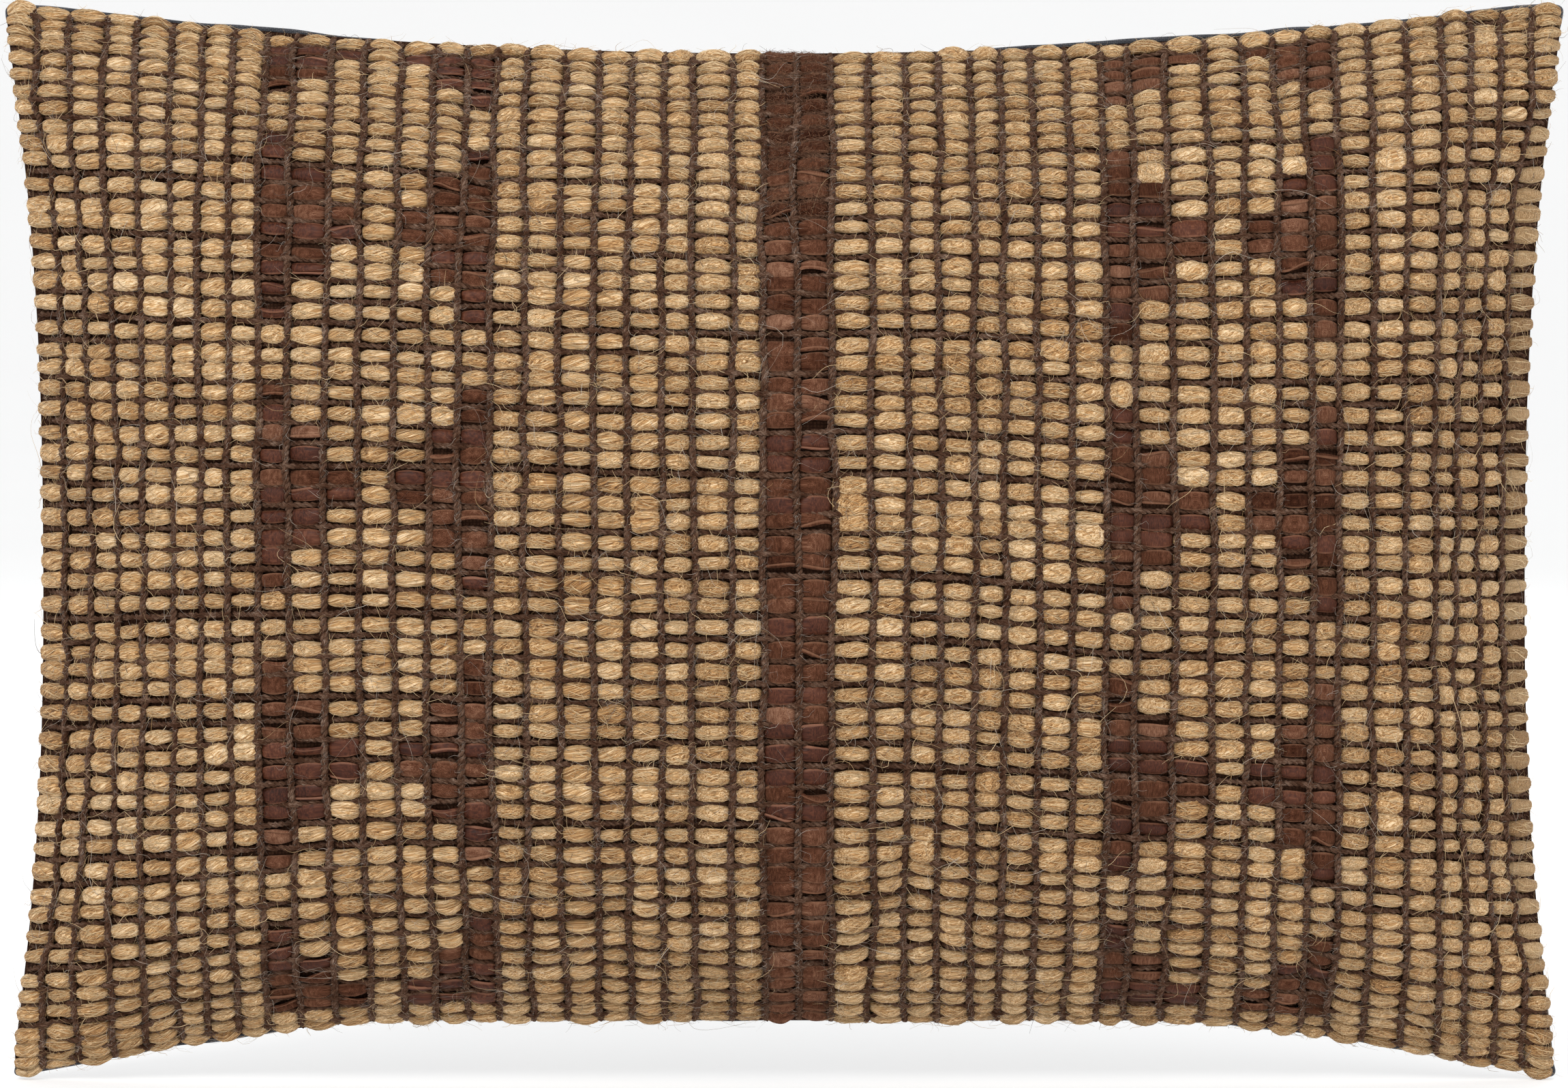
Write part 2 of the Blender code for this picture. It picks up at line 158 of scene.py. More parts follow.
JUTE_FUZZ = (4, 7800)       # pieces, and fibres in each before the far ones are left out
LOOSE_FIBRES = (4, 5200)
CORD_FUZZ = (3, 7800)
HAIR_REACH = 0.0022         # how far a fibre may stand out past the cover's outline
HAIR_RISE = 0.006           # and in front of it
FLOOR_CLEAR = 0.001         # and how near to the floor it may come

RIM_POINTS = 2000           # points round the back's folded edge
RIM_RADIUS = 0.00095
RIM_HIDDEN = (-15, 7)       # column lines between which the top floats cover the folded edge
RIM_TUCK = 0.0016
STITCH_LENGTH = 0.0031
STITCH_RISE = 0.00055
SEAM_THREAD = 0.00021
WHIP_HALF = 0.06            # half the length of the insert's hand-sewn closing
WHIP_PITCH = 0.004
WHIP_RADIUS = 0.0012
WHIP_THREAD = 0.00018
TICKING_THICK = 0.0006
TICKING_SHARES = (0.955, 0.90, 0.93)        # the insert's size as shares of the cover's
FILL_SHARES = (0.945, 0.86, 0.915)
TAPE_CLIMB = 0.008          # how far the tape is sewn up along the cover's cloth
COIL_PITCH = 0.0013
COIL_STEPS = 12             # points to one turn
COIL_WIRE = 0.00026
METAL_ROUNDING = 0.00022

VIEW_MARGIN = 1.00833       # the view's width over the pillow's
LENS = 120                  # mm
SENSOR = 36
CAMERA_TILT = math.radians(3.0)
LAMPS = (("key", (-0.9, -1.5, 1.7), 1.3, 30),       # name, place, size, power
         ("fill", (1.6, -1.3, 0.7), 1.8, 14),
         ("rear", (0.5, 1.7, 1.5), 1.6, 16))
FLOOR_GLOW = 0.51           # the floor's own light, so that it stays pale and even

COLUMNS = COLUMN_LAST - COLUMN_FIRST


# ------------------------------------------------------------------ the weave's plan
def side_edge(v):
    """Distance from the middle to the side seam, at height v (-1 to 1)."""
    return WIDTH / 2 - SIDE_SAG * (1 - np.abs(v) ** 2.4)


def top_edge(u):
    return HEIGHT - TOP_SAG * (1 - u * u)


def bottom_edge(u):
    fall = np.maximum(0, (np.abs(u) - BOTTOM_STRAIGHT) / (1 - BOTTOM_STRAIGHT)) ** 1.4
    return BOTTOM_SAG * (1 - fall)


def drawn(u, v):
    """Where the filled cover pulls (u, v) to: columns bow out, rows sink on the right."""
    share = np.clip((u - SINK_FROM) / SINK_WIDTH, 0, 1)
    sink = ROW_SINK * share * share * (3 - 2 * share)
    middle = 1 - v * v
    return u * (1 + COLUMN_BOW * (1 - u ** 4) * middle), v - sink * middle


def plan(u, v, inset):
    """Where the point (u, v) of the cover lies, seen from the front."""
    u, v = drawn(u, v)
    low = bottom_edge(u) + inset
    high = top_edge(u) - inset
    pull = CORNER_PULL * np.abs(u * v) ** CORNER_POWER
    x = u * (side_edge(v) - inset) - np.copysign(pull, u)
    z = low + (high - low) * (v + 1) / 2 - np.where(v > 0, pull, 0)
    return x, z


def crown(u, v):
    """How far the cover stands out at (u, v), from 0 at the seam to 1 in the middle."""
    return (np.maximum(0, 1 - u * u) * np.maximum(0, 1 - v * v)) ** CROWN_POWER


def mouth(x, v):
    """Half the seam's opening along the zip."""
    along = np.clip((MOUTH_END + MOUTH_FADE - np.abs(x)) / MOUTH_FADE, 0, 1)
    up = np.maximum(0, 1 - (v + 1) / MOUTH_RISE)
    return GAP / 2 + (MOUTH_HALF - GAP / 2) * along * up


def cord_u(line):
    """Where a column line runs, from -1 at the left seam to 1 at the right."""
    share = np.abs(line) / np.where(line > 0, COLUMN_LAST, -COLUMN_FIRST)
    side = np.sign(line)
    return CENTRE_CORD_U + side * (1 - side * CENTRE_CORD_U) * share


def uneven_lines(lines):
    """Column lines moved a little, since no two columns of the hand weave are equally wide."""
    widths = 1 + UNEVEN_WIDTHS * rng.standard_normal(COLUMNS).clip(-2, 2)
    for column, share in WIDE_COLUMNS.items():
        widths[column - COLUMN_FIRST] = share
    fixed = [COLUMN_FIRST, -MOTIF_FAR, -MOTIF_NEAR, 0, MOTIF_NEAR, MOTIF_FAR, COLUMN_LAST]
    for first, last in zip(fixed[:-1], fixed[1:]):
        part = slice(first - COLUMN_FIRST, last - COLUMN_FIRST)
        widths[part] *= (last - first) / widths[part].sum()
    places = COLUMN_FIRST + np.concatenate([[0], np.cumsum(widths)])
    return np.interp(lines, np.arange(COLUMN_FIRST, COLUMN_LAST + 1), places)


def row_v(line):
    """Where a row line runs: the rows close up towards the top and bottom seams."""
    above = (MIDDLE_ROW - line) / MIDDLE_ROW
    below = (line - MIDDLE_ROW) / (ROWS - MIDDLE_ROW)
    high = above * (1 + 0.14 * (1 - above ** 4))
    low = -below * (1 + 0.10 * (1 - np.abs(below) ** 8))
    return np.where(line <= MIDDLE_ROW, high, low)


def unit(vectors):
    return vectors / np.maximum(np.linalg.norm(vectors, axis=-1, keepdims=True), 1e-12)


def smooth_noise(shape, spacing):
    """Seeded noise from -1 to 1 over a table, its bumps about spacing entries wide."""
    coarse = [max(2, int(math.ceil(n / s)) + 2) for n, s in zip(shape, spacing)]
    table = rng.uniform(-1, 1, coarse)
    for axis, (n, s) in enumerate(zip(shape, spacing)):
        at = np.arange(n) / s
        low = at.astype(int)
        part = at - low
        part = part * part * (3 - 2 * part)
        part = part.reshape([-1 if k == axis else 1 for k in range(len(shape))])
        table = (np.take(table, low, axis) * (1 - part)
                 + np.take(table, low + 1, axis) * part)
    return table


def read_along(far, distance, values):
    """Points or directions read at the distances far along a line."""
    return np.stack([np.interp(far, distance, values[:, k]) for k in range(3)], axis=-1)


# ------------------------------------------------------------------ meshes from arrays
def linked(name, data):
    """A new object that shows data, in the scene."""
    made = bpy.data.objects.new(name, data)
    bpy.context.scene.collection.objects.link(made)
    return made


def mesh_object(name, points, quads, tris=None, tags=None, kinds=None, materials=()):
    """A smooth mesh from arrays. tags are point attributes, kinds picks each quad's material."""
    tris = np.zeros((0, 3), int) if tris is None else tris
    data = bpy.data.meshes.new(name)
    data.vertices.add(len(points))
    data.vertices.foreach_set("co", np.asarray(points, np.float32).ravel())
    corners = np.concatenate([quads.ravel(), tris.ravel()]).astype(np.int32)
    sizes = np.concatenate([np.full(len(quads), 4), np.full(len(tris), 3)])
    starts = np.concatenate([[0], np.cumsum(sizes)[:-1]])
    data.loops.add(len(corners))
    data.loops.foreach_set("vertex_index", corners)
    data.polygons.add(len(sizes))
    data.polygons.foreach_set("loop_start", starts.astype(np.int32))
    data.polygons.foreach_set("use_smooth", np.ones(len(sizes), bool))
    for made in materials:
        data.materials.append(made)
    if kinds is not None:
        data.polygons.foreach_set("material_index", kinds.astype(np.int32))
    for tag, values in (tags or {}).items():
        form = "FLOAT_VECTOR" if values.ndim == 2 else "FLOAT"
        field = "vector" if values.ndim == 2 else "value"
        layer = data.attributes.new(tag, form, "POINT")
        layer.data.foreach_set(field, np.asarray(values, np.float32).ravel())
    data.update(calc_edges=True)
    data.validate()
    return linked(name, data)


class Tubes:
    """Closed tubes gathered into one mesh, each given as rings of points."""

    def __init__(self):
        self.points, self.quads, self.tris, self.kinds = [], [], [], []
        self.tags = {}
        self.count = 0

    def add(self, rings, kind=0, **tags):
        """rings is (tubes, rings, sides, 3); each tag matches it, with or without the last axis.

        A three-sided tube ends in one triangle, a rounder one in a fan round a middle point.
        """
        tubes, length, sides = rings.shape[:3]
        size = tubes * length * sides
        fan = sides > 3
        ids = self.count + np.arange(size).reshape(tubes, length, sides)
        turned = np.roll(ids, -1, axis=2)
        quads = np.stack([ids[:, :-1], turned[:, :-1], turned[:, 1:], ids[:, 1:]], axis=-1)
        quads = quads.reshape(-1, 4)
        first, last = ids[:, 0, ::-1], ids[:, -1]
        if fan:
            caps = self.count + size + np.arange(tubes * 2).reshape(tubes, 2)
            first = np.stack([np.broadcast_to(caps[:, :1], (tubes, sides)),
                              turned[:, 0], ids[:, 0]], axis=-1).reshape(-1, 3)
            last = np.stack([np.broadcast_to(caps[:, 1:], (tubes, sides)),
                             ids[:, -1], turned[:, -1]], axis=-1).reshape(-1, 3)

        def flattened(values):
            values = np.broadcast_to(values, rings.shape[:3] + values.shape[3:])
            parts = [values] + ([values[:, [0, -1]].mean(axis=2)] if fan else [])
            return [part.reshape((-1,) + values.shape[3:]) for part in parts]

        self.points.extend(flattened(rings))
        for tag, values in tags.items():
            self.tags.setdefault(tag, []).extend(flattened(values))
        self.quads.append(quads)
        self.tris.extend([first, last])
        self.kinds.append((len(quads), len(first) + len(last), kind))
        self.count += size + 2 * tubes * fan

    def build(self, name, *materials):
        kinds = np.concatenate([np.full(n, kind) for n, _, kind in self.kinds]
                               + [np.full(n, kind) for _, n, kind in self.kinds])
        tags = {tag: np.concatenate(parts) for tag, parts in self.tags.items()}
        return mesh_object(name, np.concatenate(self.points), np.concatenate(self.quads),
                           np.concatenate(self.tris), tags, kinds, materials)


def grid_quads(columns, rows, flip=False):
    ids = np.arange(columns * rows).reshape(columns, rows)
    corners = [ids[:-1, :-1], ids[1:, :-1], ids[1:, 1:], ids[:-1, 1:]]
    return np.stack(corners[::-1] if flip else corners, axis=-1).reshape(-1, 4)


# ------------------------------------------------------------------ the cloth simulation
def starting_forms():
    """Front and back of the cover before they are blown up, as points by column and row."""
    columns = np.arange(COLUMN_FIRST, COLUMN_LAST + GRID_STEP / 2, GRID_STEP)
    rows = np.arange(0, ROWS + ROW_STEP / 2, ROW_STEP)
    u, v = np.meshgrid(cord_u(uneven_lines(columns)), row_v(rows), indexing="ij")
    x, z = plan(u, v, EDGE_INSET)
    swell = (HALF_DEPTH - RELIEF) * crown(u, v)
    front = np.stack([x, -swell, z], axis=-1)
    back = np.stack([x, HALF_DEPTH * crown(u, v), z], axis=-1)
    return front, back, v


def simulate(front, back):
    """Blows the cover up like a filled pillow, held at its seam, and returns both sides."""
    columns, rows = front.shape[:2]
    inside = np.zeros((columns, rows), bool)
    inside[1:-1, 1:-1] = True
    front_ids = np.arange(columns * rows).reshape(columns, rows)
    back_ids = front_ids.copy()
    back_ids[inside] = columns * rows + np.arange(inside.sum())
    start = np.concatenate([front.reshape(-1, 3), back[inside]])
    quads = grid_quads(columns, rows, flip=True)
    back_quads = back_ids.ravel()[grid_quads(columns, rows)]
    made = mesh_object("form", start, np.concatenate([quads, back_quads]))
    seam = made.vertex_groups.new(name="seam")
    seam.add(front_ids[~inside].tolist(), 1.0, "REPLACE")
    cloth = made.modifiers.new("Cloth", "CLOTH").settings
    cloth.quality = 6
    cloth.mass = 0.25
    cloth.tension_stiffness = 12
    cloth.compression_stiffness = 12
    cloth.shear_stiffness = 4
    cloth.bending_stiffness = 0.4
    cloth.use_pressure = True
    cloth.uniform_pressure_force = 4
    cloth.shrink_min = -0.015
    cloth.vertex_group_mass = "seam"
    cloth.effector_weights.gravity = 0
    scene = bpy.context.scene
    for step in range(1, SIM_FRAMES + 1):
        scene.frame_set(step)
    settled = made.evaluated_get(bpy.context.evaluated_depsgraph_get())
    blown = np.empty(len(start) * 3, np.float32)
    settled.to_mesh().vertices.foreach_get("co", blown)
    settled.to_mesh_clear()
    scene.frame_set(1)
    bpy.data.objects.remove(made)
    moved = blown.reshape(-1, 3) - start
    length = np.linalg.norm(moved, axis=1, keepdims=True)
    moved *= SIM_CAP * np.tanh(length / SIM_CAP) / np.maximum(length, 1e-9)
    shape = start + moved
    return shape[front_ids], shape[back_ids]


class Sheet:
    """A side of the cover, read at any column and row as a smooth surface."""

    def __init__(self, points, outwards):
        across = np.gradient(points, axis=0)
        down = np.gradient(points, axis=1)
        out = unit(np.cross(down, across)) * outwards
        pitch = np.linalg.norm(down, axis=-1, keepdims=True) / ROW_STEP
        width = np.linalg.norm(across, axis=-1, keepdims=True) / GRID_STEP
        field = np.concatenate([points, unit(across), out, pitch, width], axis=-1)
        self.field = np.pad(field, ((1, 1), (1, 1), (0, 0)), mode="reflect",
                            reflect_type="odd")

    def at(self, column, row):
        """Place, direction along the row, outward direction, row pitch and column width."""
        column, row = np.broadcast_arrays(column, row)
        limits = np.array(self.field.shape[:2]) - 4
        i, a = self.split((column - COLUMN_FIRST) / GRID_STEP, limits[0])
        j, b = self.split(row / ROW_STEP, limits[1])
        total = 0
        for m, weight_a in enumerate(self.weights(a)):
            for n, weight_b in enumerate(self.weights(b)):
                total = total + (weight_a * weight_b)[..., None] * self.field[i + m, j + n]
        return (total[..., :3], unit(total[..., 3:6]), unit(total[..., 6:9]),
                total[..., 9:10], total[..., 10:11])

    @staticmethod
    def split(index, limit):
        whole = np.clip(np.floor(index).astype(int), 0, limit)
        return whole, np.clip(index - whole, 0, 1)

    @staticmethod
    def weights(t):
        """Catmull-Rom weights of four neighbouring points."""
        return (((2 - t) * t - 1) * t / 2, ((3 * t - 5) * t * t + 2) / 2,
                ((4 - 3 * t) * t + 1) * t / 2, (t - 1) * t * t / 2)


def make_sheets():
    front, back, v = starting_forms()
    front, back = simulate(front, back)
    depth_front = HALF_DEPTH - RELIEF
    front[..., 1] *= depth_front / -front[..., 1].min()
    back[..., 1] *= (HALF_DEPTH + 0.0015) / back[..., 1].max()
    back[..., 1] = np.minimum(back[..., 1], HALF_DEPTH)
    closed = front.copy(), back.copy()
    opening = mouth(front[..., 0], v)
    front[..., 1] -= opening
    back[..., 1] += opening
    return Sheet(front, 1), Sheet(back, -1), closed


FRONT, BACK, CLOSED_FORM = make_sheets()


# ------------------------------------------------------------------ materials
def node(tree, kind, inputs=None, **settings):
    """A shader node with its settings, and its inputs given as values or as sockets."""
    made = tree.nodes.new("ShaderNode" + kind)
    for key, value in settings.items():
        setattr(made, key, value)
    for key, value in (inputs or {}).items():
        if isinstance(value, bpy.types.NodeSocket):
            tree.links.new(value, made.inputs[key])
        else:
            made.inputs[key].default_value = value
    return made


def ramp(tree, factor, *stops):
    """A colour ramp over (position, colour) stops."""
    made = node(tree, "ValToRGB", {"Fac": factor})
    band = made.color_ramp
    while len(band.elements) < len(stops):
        band.elements.new(0.5)
    for element, (position, colour) in zip(band.elements, stops):
        element.position = position
        element.color = (*colour, 1)
    return made.outputs["Color"]


def noise(tree, vector, scale, detail=2.0, roughness=0.5, distortion=0.0):
    made = node(tree, "TexNoise", {"Vector": vector, "Scale": scale, "Detail": detail,
                                   "Roughness": roughness, "Distortion": distortion})
    return made.outputs["Fac"]


def maths(tree, operation, a, b=0.0, c=0.0):
    return node(tree, "Math", {0: a, 1: b, 2: c}, operation=operation).outputs[0]


def summed(tree, *parts):
    """The sum of (socket, share) pairs."""
    total = None
    for socket, share in parts:
        part = socket if share == 1 else maths(tree, "MULTIPLY", socket, share)
        total = part if total is None else maths(tree, "ADD", total, part)
    return total


def mixed(tree, factor, a, b, blend="MIX"):
    made = node(tree, "Mix", {"Factor": factor}, data_type="RGBA", blend_type=blend)
    for socket, value in ((made.inputs[6], a), (made.inputs[7], b)):
        if isinstance(value, bpy.types.NodeSocket):
            tree.links.new(value, socket)
        else:
            socket.default_value = (*value, 1)
    return made.outputs[2]


def start_material(name, roughness=0.8, sheen=0.0, sheen_tint=(1, 1, 1), specular=0.3,
                   metallic=0.0):
    made = bpy.data.materials.new(name)
    made.use_nodes = True
    tree = made.node_tree
    shader = tree.nodes["Principled BSDF"]
    shader.inputs["Roughness"].default_value = roughness
    shader.inputs["Sheen Weight"].default_value = sheen
    shader.inputs["Sheen Roughness"].default_value = 0.45
    shader.inputs["Sheen Tint"].default_value = (*sheen_tint, 1)
    shader.inputs["Specular IOR Level"].default_value = specular
    shader.inputs["Metallic"].default_value = metallic
    return made, tree, shader


def tag(tree, name, output="Fac"):
    return node(tree, "Attribute", attribute_name=name).outputs[output]


def bump(tree, shader, height, distance, strength=1.0, under=None):
    inputs = {"Height": height, "Distance": distance, "Strength": strength}
    if under is not None:
        inputs["Normal"] = under
    made = node(tree, "Bump", inputs).outputs["Normal"]
    tree.links.new(made, shader.inputs["Normal"])
    return made


def jute_material():
    """Golden fibres laid side by side: fine streaks along the float, tone by float."""
    made, tree, shader = start_material("jute_fibre", 0.75, 0.15, (1.0, 0.82, 0.55))
    fibre = tag(tree, "fibre", "Vector")
    fine = noise(tree, fibre, 1.2, 3.0, 0.7, 0.7)
    strand = noise(tree, fibre, 0.38, 2.0, 0.5, 0.4)
    thread = noise(tree, fibre, 2.5, 2.0, 0.6, 0.5)
    shade = summed(tree, (fine, 0.80), (strand, 0.28), (thread, 0.52), (tag(tree, "tone"), 1))
    colour = ramp(tree, shade,
                  (0.60, (0.090, 0.035, 0.008)), (0.69, (0.258, 0.118, 0.034)),
                  (0.77, (0.440, 0.230, 0.085)), (0.85, (0.625, 0.377, 0.163)),
                  (0.94, (0.890, 0.665, 0.415)))
    tree.links.new(colour, shader.inputs["Base Color"])
    lumps = summed(tree, (fine, 0.8), (strand, 0.8), (thread, 0.35))
    bump(tree, shader, lumps, 0.0009, 1.0)
    return made


def dark_yarn_material():
    """The hairy brown-grey yarn of the tie cords and the ground weft."""
    made, tree, shader = start_material("dark_yarn", 0.90, 0.06, (0.60, 0.40, 0.28), 0.06)
    fibre = tag(tree, "fibre", "Vector")
    fine = noise(tree, fibre, 1.3, 3.0, 0.75, 0.5)
    patch = noise(tree, node(tree, "TexCoord").outputs["Object"], 260.0, 3.0)
    shade = summed(tree, (fine, 0.65), (patch, 0.35))
    colour = ramp(tree, shade,
                  (0.34, (0.013, 0.004, 0.002)), (0.46, (0.055, 0.023, 0.012)),
                  (0.57, (0.128, 0.072, 0.047)), (0.68, (0.305, 0.220, 0.168)))
    tree.links.new(colour, shader.inputs["Base Color"])
    bump(tree, shader, fine, 0.0004, 0.9)
    return made


def hair_material(name, dark, light, roughness=0.6):
    made, tree, shader = start_material(name, roughness, 0.08, light)
    tone = tag(tree, "tone")
    colour = ramp(tree, tone, (0.0, dark), (1.0, light))
    tree.links.new(colour, shader.inputs["Base Color"])
    return made


def suede_material():
    """The split side of the leather: short nap, brushed light and dark."""
    made, tree, shader = start_material("leather_suede", 0.90, 0.16, (0.70, 0.36, 0.22), 0.06)
    place = tag(tree, "skin", "Vector")
    nap = noise(tree, place, 1.7, 4.0, 0.75)
    brushed = noise(tree, place, 0.22, 2.0)
    shade = summed(tree, (nap, 0.68), (brushed, 0.32), (tag(tree, "tone"), 1))
    colour = ramp(tree, shade,
                  (0.32, (0.014, 0.003, 0.001)), (0.44, (0.056, 0.019, 0.009)),
                  (0.55, (0.120, 0.047, 0.025)), (0.68, (0.265, 0.140, 0.087)))
    # painted highlight: the strip's long edges (the rim mask) are mixed towards a lighter brown
    painted_edge_highlight = maths(tree, "MULTIPLY", tag(tree, "rim"), 0.60)
    colour = mixed(tree, painted_edge_highlight, colour, (0.245, 0.120, 0.070))
    tree.links.new(colour, shader.inputs["Base Color"])
    bump(tree, shader, nap, 0.00022, 0.8)
    return made


def grain_material():
    """The smooth side of the leather: reddish, slightly glossy, with fine creases."""
    made, tree, shader = start_material("leather_grain", 0.5, 0.0, (1, 1, 1), 0.16)
    place = tag(tree, "skin", "Vector")
    cells = node(tree, "TexVoronoi", {"Vector": place, "Scale": 1.3},
                 feature="DISTANCE_TO_EDGE").outputs["Distance"]
    crease = noise(tree, place, 0.35, 4.0, 0.65)
    shade = maths(tree, "ADD", crease, tag(tree, "tone"))
    colour = ramp(tree, shade,
                  (0.28, (0.022, 0.005, 0.002)), (0.46, (0.055, 0.015, 0.007)),
                  (0.62, (0.090, 0.028, 0.013)), (0.78, (0.150, 0.056, 0.030)))
    # painted highlight: the strip's long edges (the rim mask) are mixed towards a lighter brown
    painted_edge_highlight = maths(tree, "MULTIPLY", tag(tree, "rim"), 0.8)
    colour = mixed(tree, painted_edge_highlight, colour, (0.235, 0.105, 0.062))
    tree.links.new(colour, shader.inputs["Base Color"])
    gloss = maths(tree, "MULTIPLY_ADD", crease, 0.35, 0.28)
    tree.links.new(gloss, shader.inputs["Roughness"])
    first = bump(tree, shader, crease, 0.0005, 0.6)
    bump(tree, shader, cells, 0.00008, 0.5, first)
    return made


def cotton_material(name, dark, light, pitch, sheen=0.3, specular=0.2):
    """A plain weave: warp and weft threads pass over each other in turn."""
    made, tree, shader = start_material(name, 0.85, sheen, (0.8, 0.8, 0.85), specular)
    place = tag(tree, "cloth", "Vector")
    split = node(tree, "SeparateXYZ", {"Vector": place})
    turn = math.pi / pitch
    wave = {}
    for axis in "XY":
        wave[axis] = maths(tree, "SINE", maths(tree, "MULTIPLY", split.outputs[axis], turn))
    over = maths(tree, "MULTIPLY", wave["X"], wave["Y"])
    threads = maths(tree, "ABSOLUTE", over)
    wobble = noise(tree, place, 900.0, 2.0)
    height = summed(tree, (over, 0.5), (threads, 1))
    slub = noise(tree, place, 60.0, 5.0, 0.7)
    shade = maths(tree, "MULTIPLY_ADD", threads, 0.30, 0.10)
    shade = summed(tree, (shade, 1), (wobble, 0.35), (slub, 0.45))
    colour = ramp(tree, shade, (0.36, dark), (0.88, light))
    tree.links.new(colour, shader.inputs["Base Color"])
    bump(tree, shader, height, 0.00018, 0.9)
    return made


def metal_material(name, colour, roughness):
    """Plated metal, with fine scratches and duller patches where fingers touch it."""
    made, tree, shader = start_material(name, roughness, metallic=1.0, specular=0.5)
    place = node(tree, "TexCoord").outputs["Object"]
    stretched = node(tree, "Mapping", {"Vector": place, "Scale": (40, 900, 900)})
    scratches = noise(tree, stretched.outputs["Vector"], 1.0, 3.0)
    patches = noise(tree, place, 400.0, 3.0)
    tone = ramp(tree, patches, (0.3, tuple(c * 0.72 for c in colour)), (0.7, colour))
    tree.links.new(tone, shader.inputs["Base Color"])
    rough = maths(tree, "ADD", maths(tree, "MULTIPLY", patches, 0.25), roughness - 0.1)
    tree.links.new(rough, shader.inputs["Roughness"])
    bump(tree, shader, scratches, 0.00003, 0.5)
    return made


JUTE = jute_material()
DARK_YARN = dark_yarn_material()
SUEDE = suede_material()
GRAIN = grain_material()
CHARCOAL = cotton_material("charcoal_cotton", (0.016, 0.017, 0.020), (0.072, 0.074, 0.084),
                           0.00062)
GROUND = cotton_material("dark_ground", (0.012, 0.004, 0.002), (0.055, 0.025, 0.014), 0.0011,
                         0.0, 0.05)
TICKING = cotton_material("ticking", (0.50, 0.48, 0.44), (0.74, 0.72, 0.67), 0.0005)
GOLD_HAIR = hair_material("jute_hair", (0.28, 0.16, 0.06), (0.74, 0.55, 0.32))
PALE_HAIR = hair_material("pale_hair", (0.25, 0.19, 0.14), (0.62, 0.55, 0.46))
DARK_HAIR = hair_material("dark_hair", (0.022, 0.013, 0.010), (0.36, 0.29, 0.24))
NAP_HAIR = hair_material("leather_nap", (0.050, 0.018, 0.008), (0.235, 0.115, 0.062), 0.8)
THREAD = hair_material("seam_thread", (0.020, 0.020, 0.023), (0.060, 0.058, 0.062), 0.7)
FILL = hair_material("polyester_fill", (0.75, 0.75, 0.74), (0.90, 0.90, 0.89), 0.9)
TAPE = cotton_material("zip_tape_weave", (0.016, 0.016, 0.018), (0.060, 0.060, 0.066), 0.0004)
COIL = metal_material("zip_coil_nylon", (0.050, 0.050, 0.055), 0.4)
METAL = metal_material("zip_metal_plate", (0.33, 0.29, 0.24), 0.32)


def finish_piece(piece, slot, *nodes, body="cover"):
    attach(piece, body)
    if nodes:
        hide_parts(*nodes)
    return piece


# ------------------------------------------------------------------ where the leather is
def leather_strips():
    """Every leather strip as (CAD node, row, first column line, last column line)."""
    for row in range(ROWS):
        yield "leather_band_centre", row, -BAND_REACH, BAND_REACH
    for side, hand in ((-1, "left"), (1, "right")):
        for n, (start, end) in enumerate(zip(MOTIF_STARTS, MOTIF_ENDS), start=1):
            for edge, grows, place in ((MOTIF_FAR, -1, "outer"), (MOTIF_NEAR, 1, "inner")):
                for first, last, columns in MOTIF_STEPS:
                    ends = sorted((side * edge, side * (edge + grows * columns)))
                    for row in range(max(HEM_TOP, start + first), min(end, start + last)):
                        yield f"leather_{hand}_{place}_{n}", row, ends[0], ends[1]


STRIPS = list(leather_strips())
IS_LEATHER = np.zeros((ROWS, COLUMNS), bool)
for _, strip_row, strip_first, strip_last in STRIPS:
    IS_LEATHER[strip_row, strip_first - COLUMN_FIRST:strip_last - COLUMN_FIRST] = True

# ------------------------------------------------------------------ how the hand weave varies
TABLE = (ROWS, COLUMNS)


def varied(share):
    """One normal draw for each float, cut off at two sigma."""
    return share * rng.standard_normal(TABLE).clip(-2, 2)


ROW_DRIFT = (0.11 * smooth_noise(TABLE, (1, 8)) + 0.13 * smooth_noise(TABLE, (1.5, 24))
             + 0.06 * smooth_noise(TABLE, (1, 1.5)))
TALL = 1 + 0.09 * smooth_noise(TABLE, (1, 9)) + varied(0.11)
THICK = 1 + varied(0.08)
TILT = varied(0.07)
SLANT = rng.normal(120, 55, TABLE).clip(-60, 260)
TONE = varied(0.030) + 0.030 * smooth_noise(TABLE, (4, 5))
SLUB = rng.random(TABLE) < 0.022
TALL[SLUB] *= 1.30
THICK[SLUB] *= 1.25
CORD_DRIFT = 0.085 * smooth_noise((COLUMNS + 1, ROWS * 2), (1, 5)) \
    + 0.05 * smooth_noise((COLUMNS + 1, ROWS * 2), (1, 18))


def drift_of_cord(line, row):
    """How far a tie cord wanders off its line, in columns."""
    cord = np.asarray(line, int) - COLUMN_FIRST
    at = np.clip(row * 2, 0, ROWS * 2 - 1.001)
    low = np.floor(at).astype(int)
    part = at - low
    part = part * part * (3 - 2 * part)
    first, second = CORD_DRIFT[cord, low], CORD_DRIFT[cord, low + 1]
    return first * (1 - part) + second * part


def row_drift(cell, share, row):
    """A row's wander off its line along a float, in rows: smooth from float to float."""
    here = ROW_DRIFT[row, cell]
    before = (ROW_DRIFT[row, np.maximum(cell - 1, 0)] + here) / 2
    after = (ROW_DRIFT[row, np.minimum(cell + 1, COLUMNS - 1)] + here) / 2
    swell = np.sin(np.pi * share) ** 0.6
    return (before * (1 - share) + after * share) * (1 - swell) + here * swell


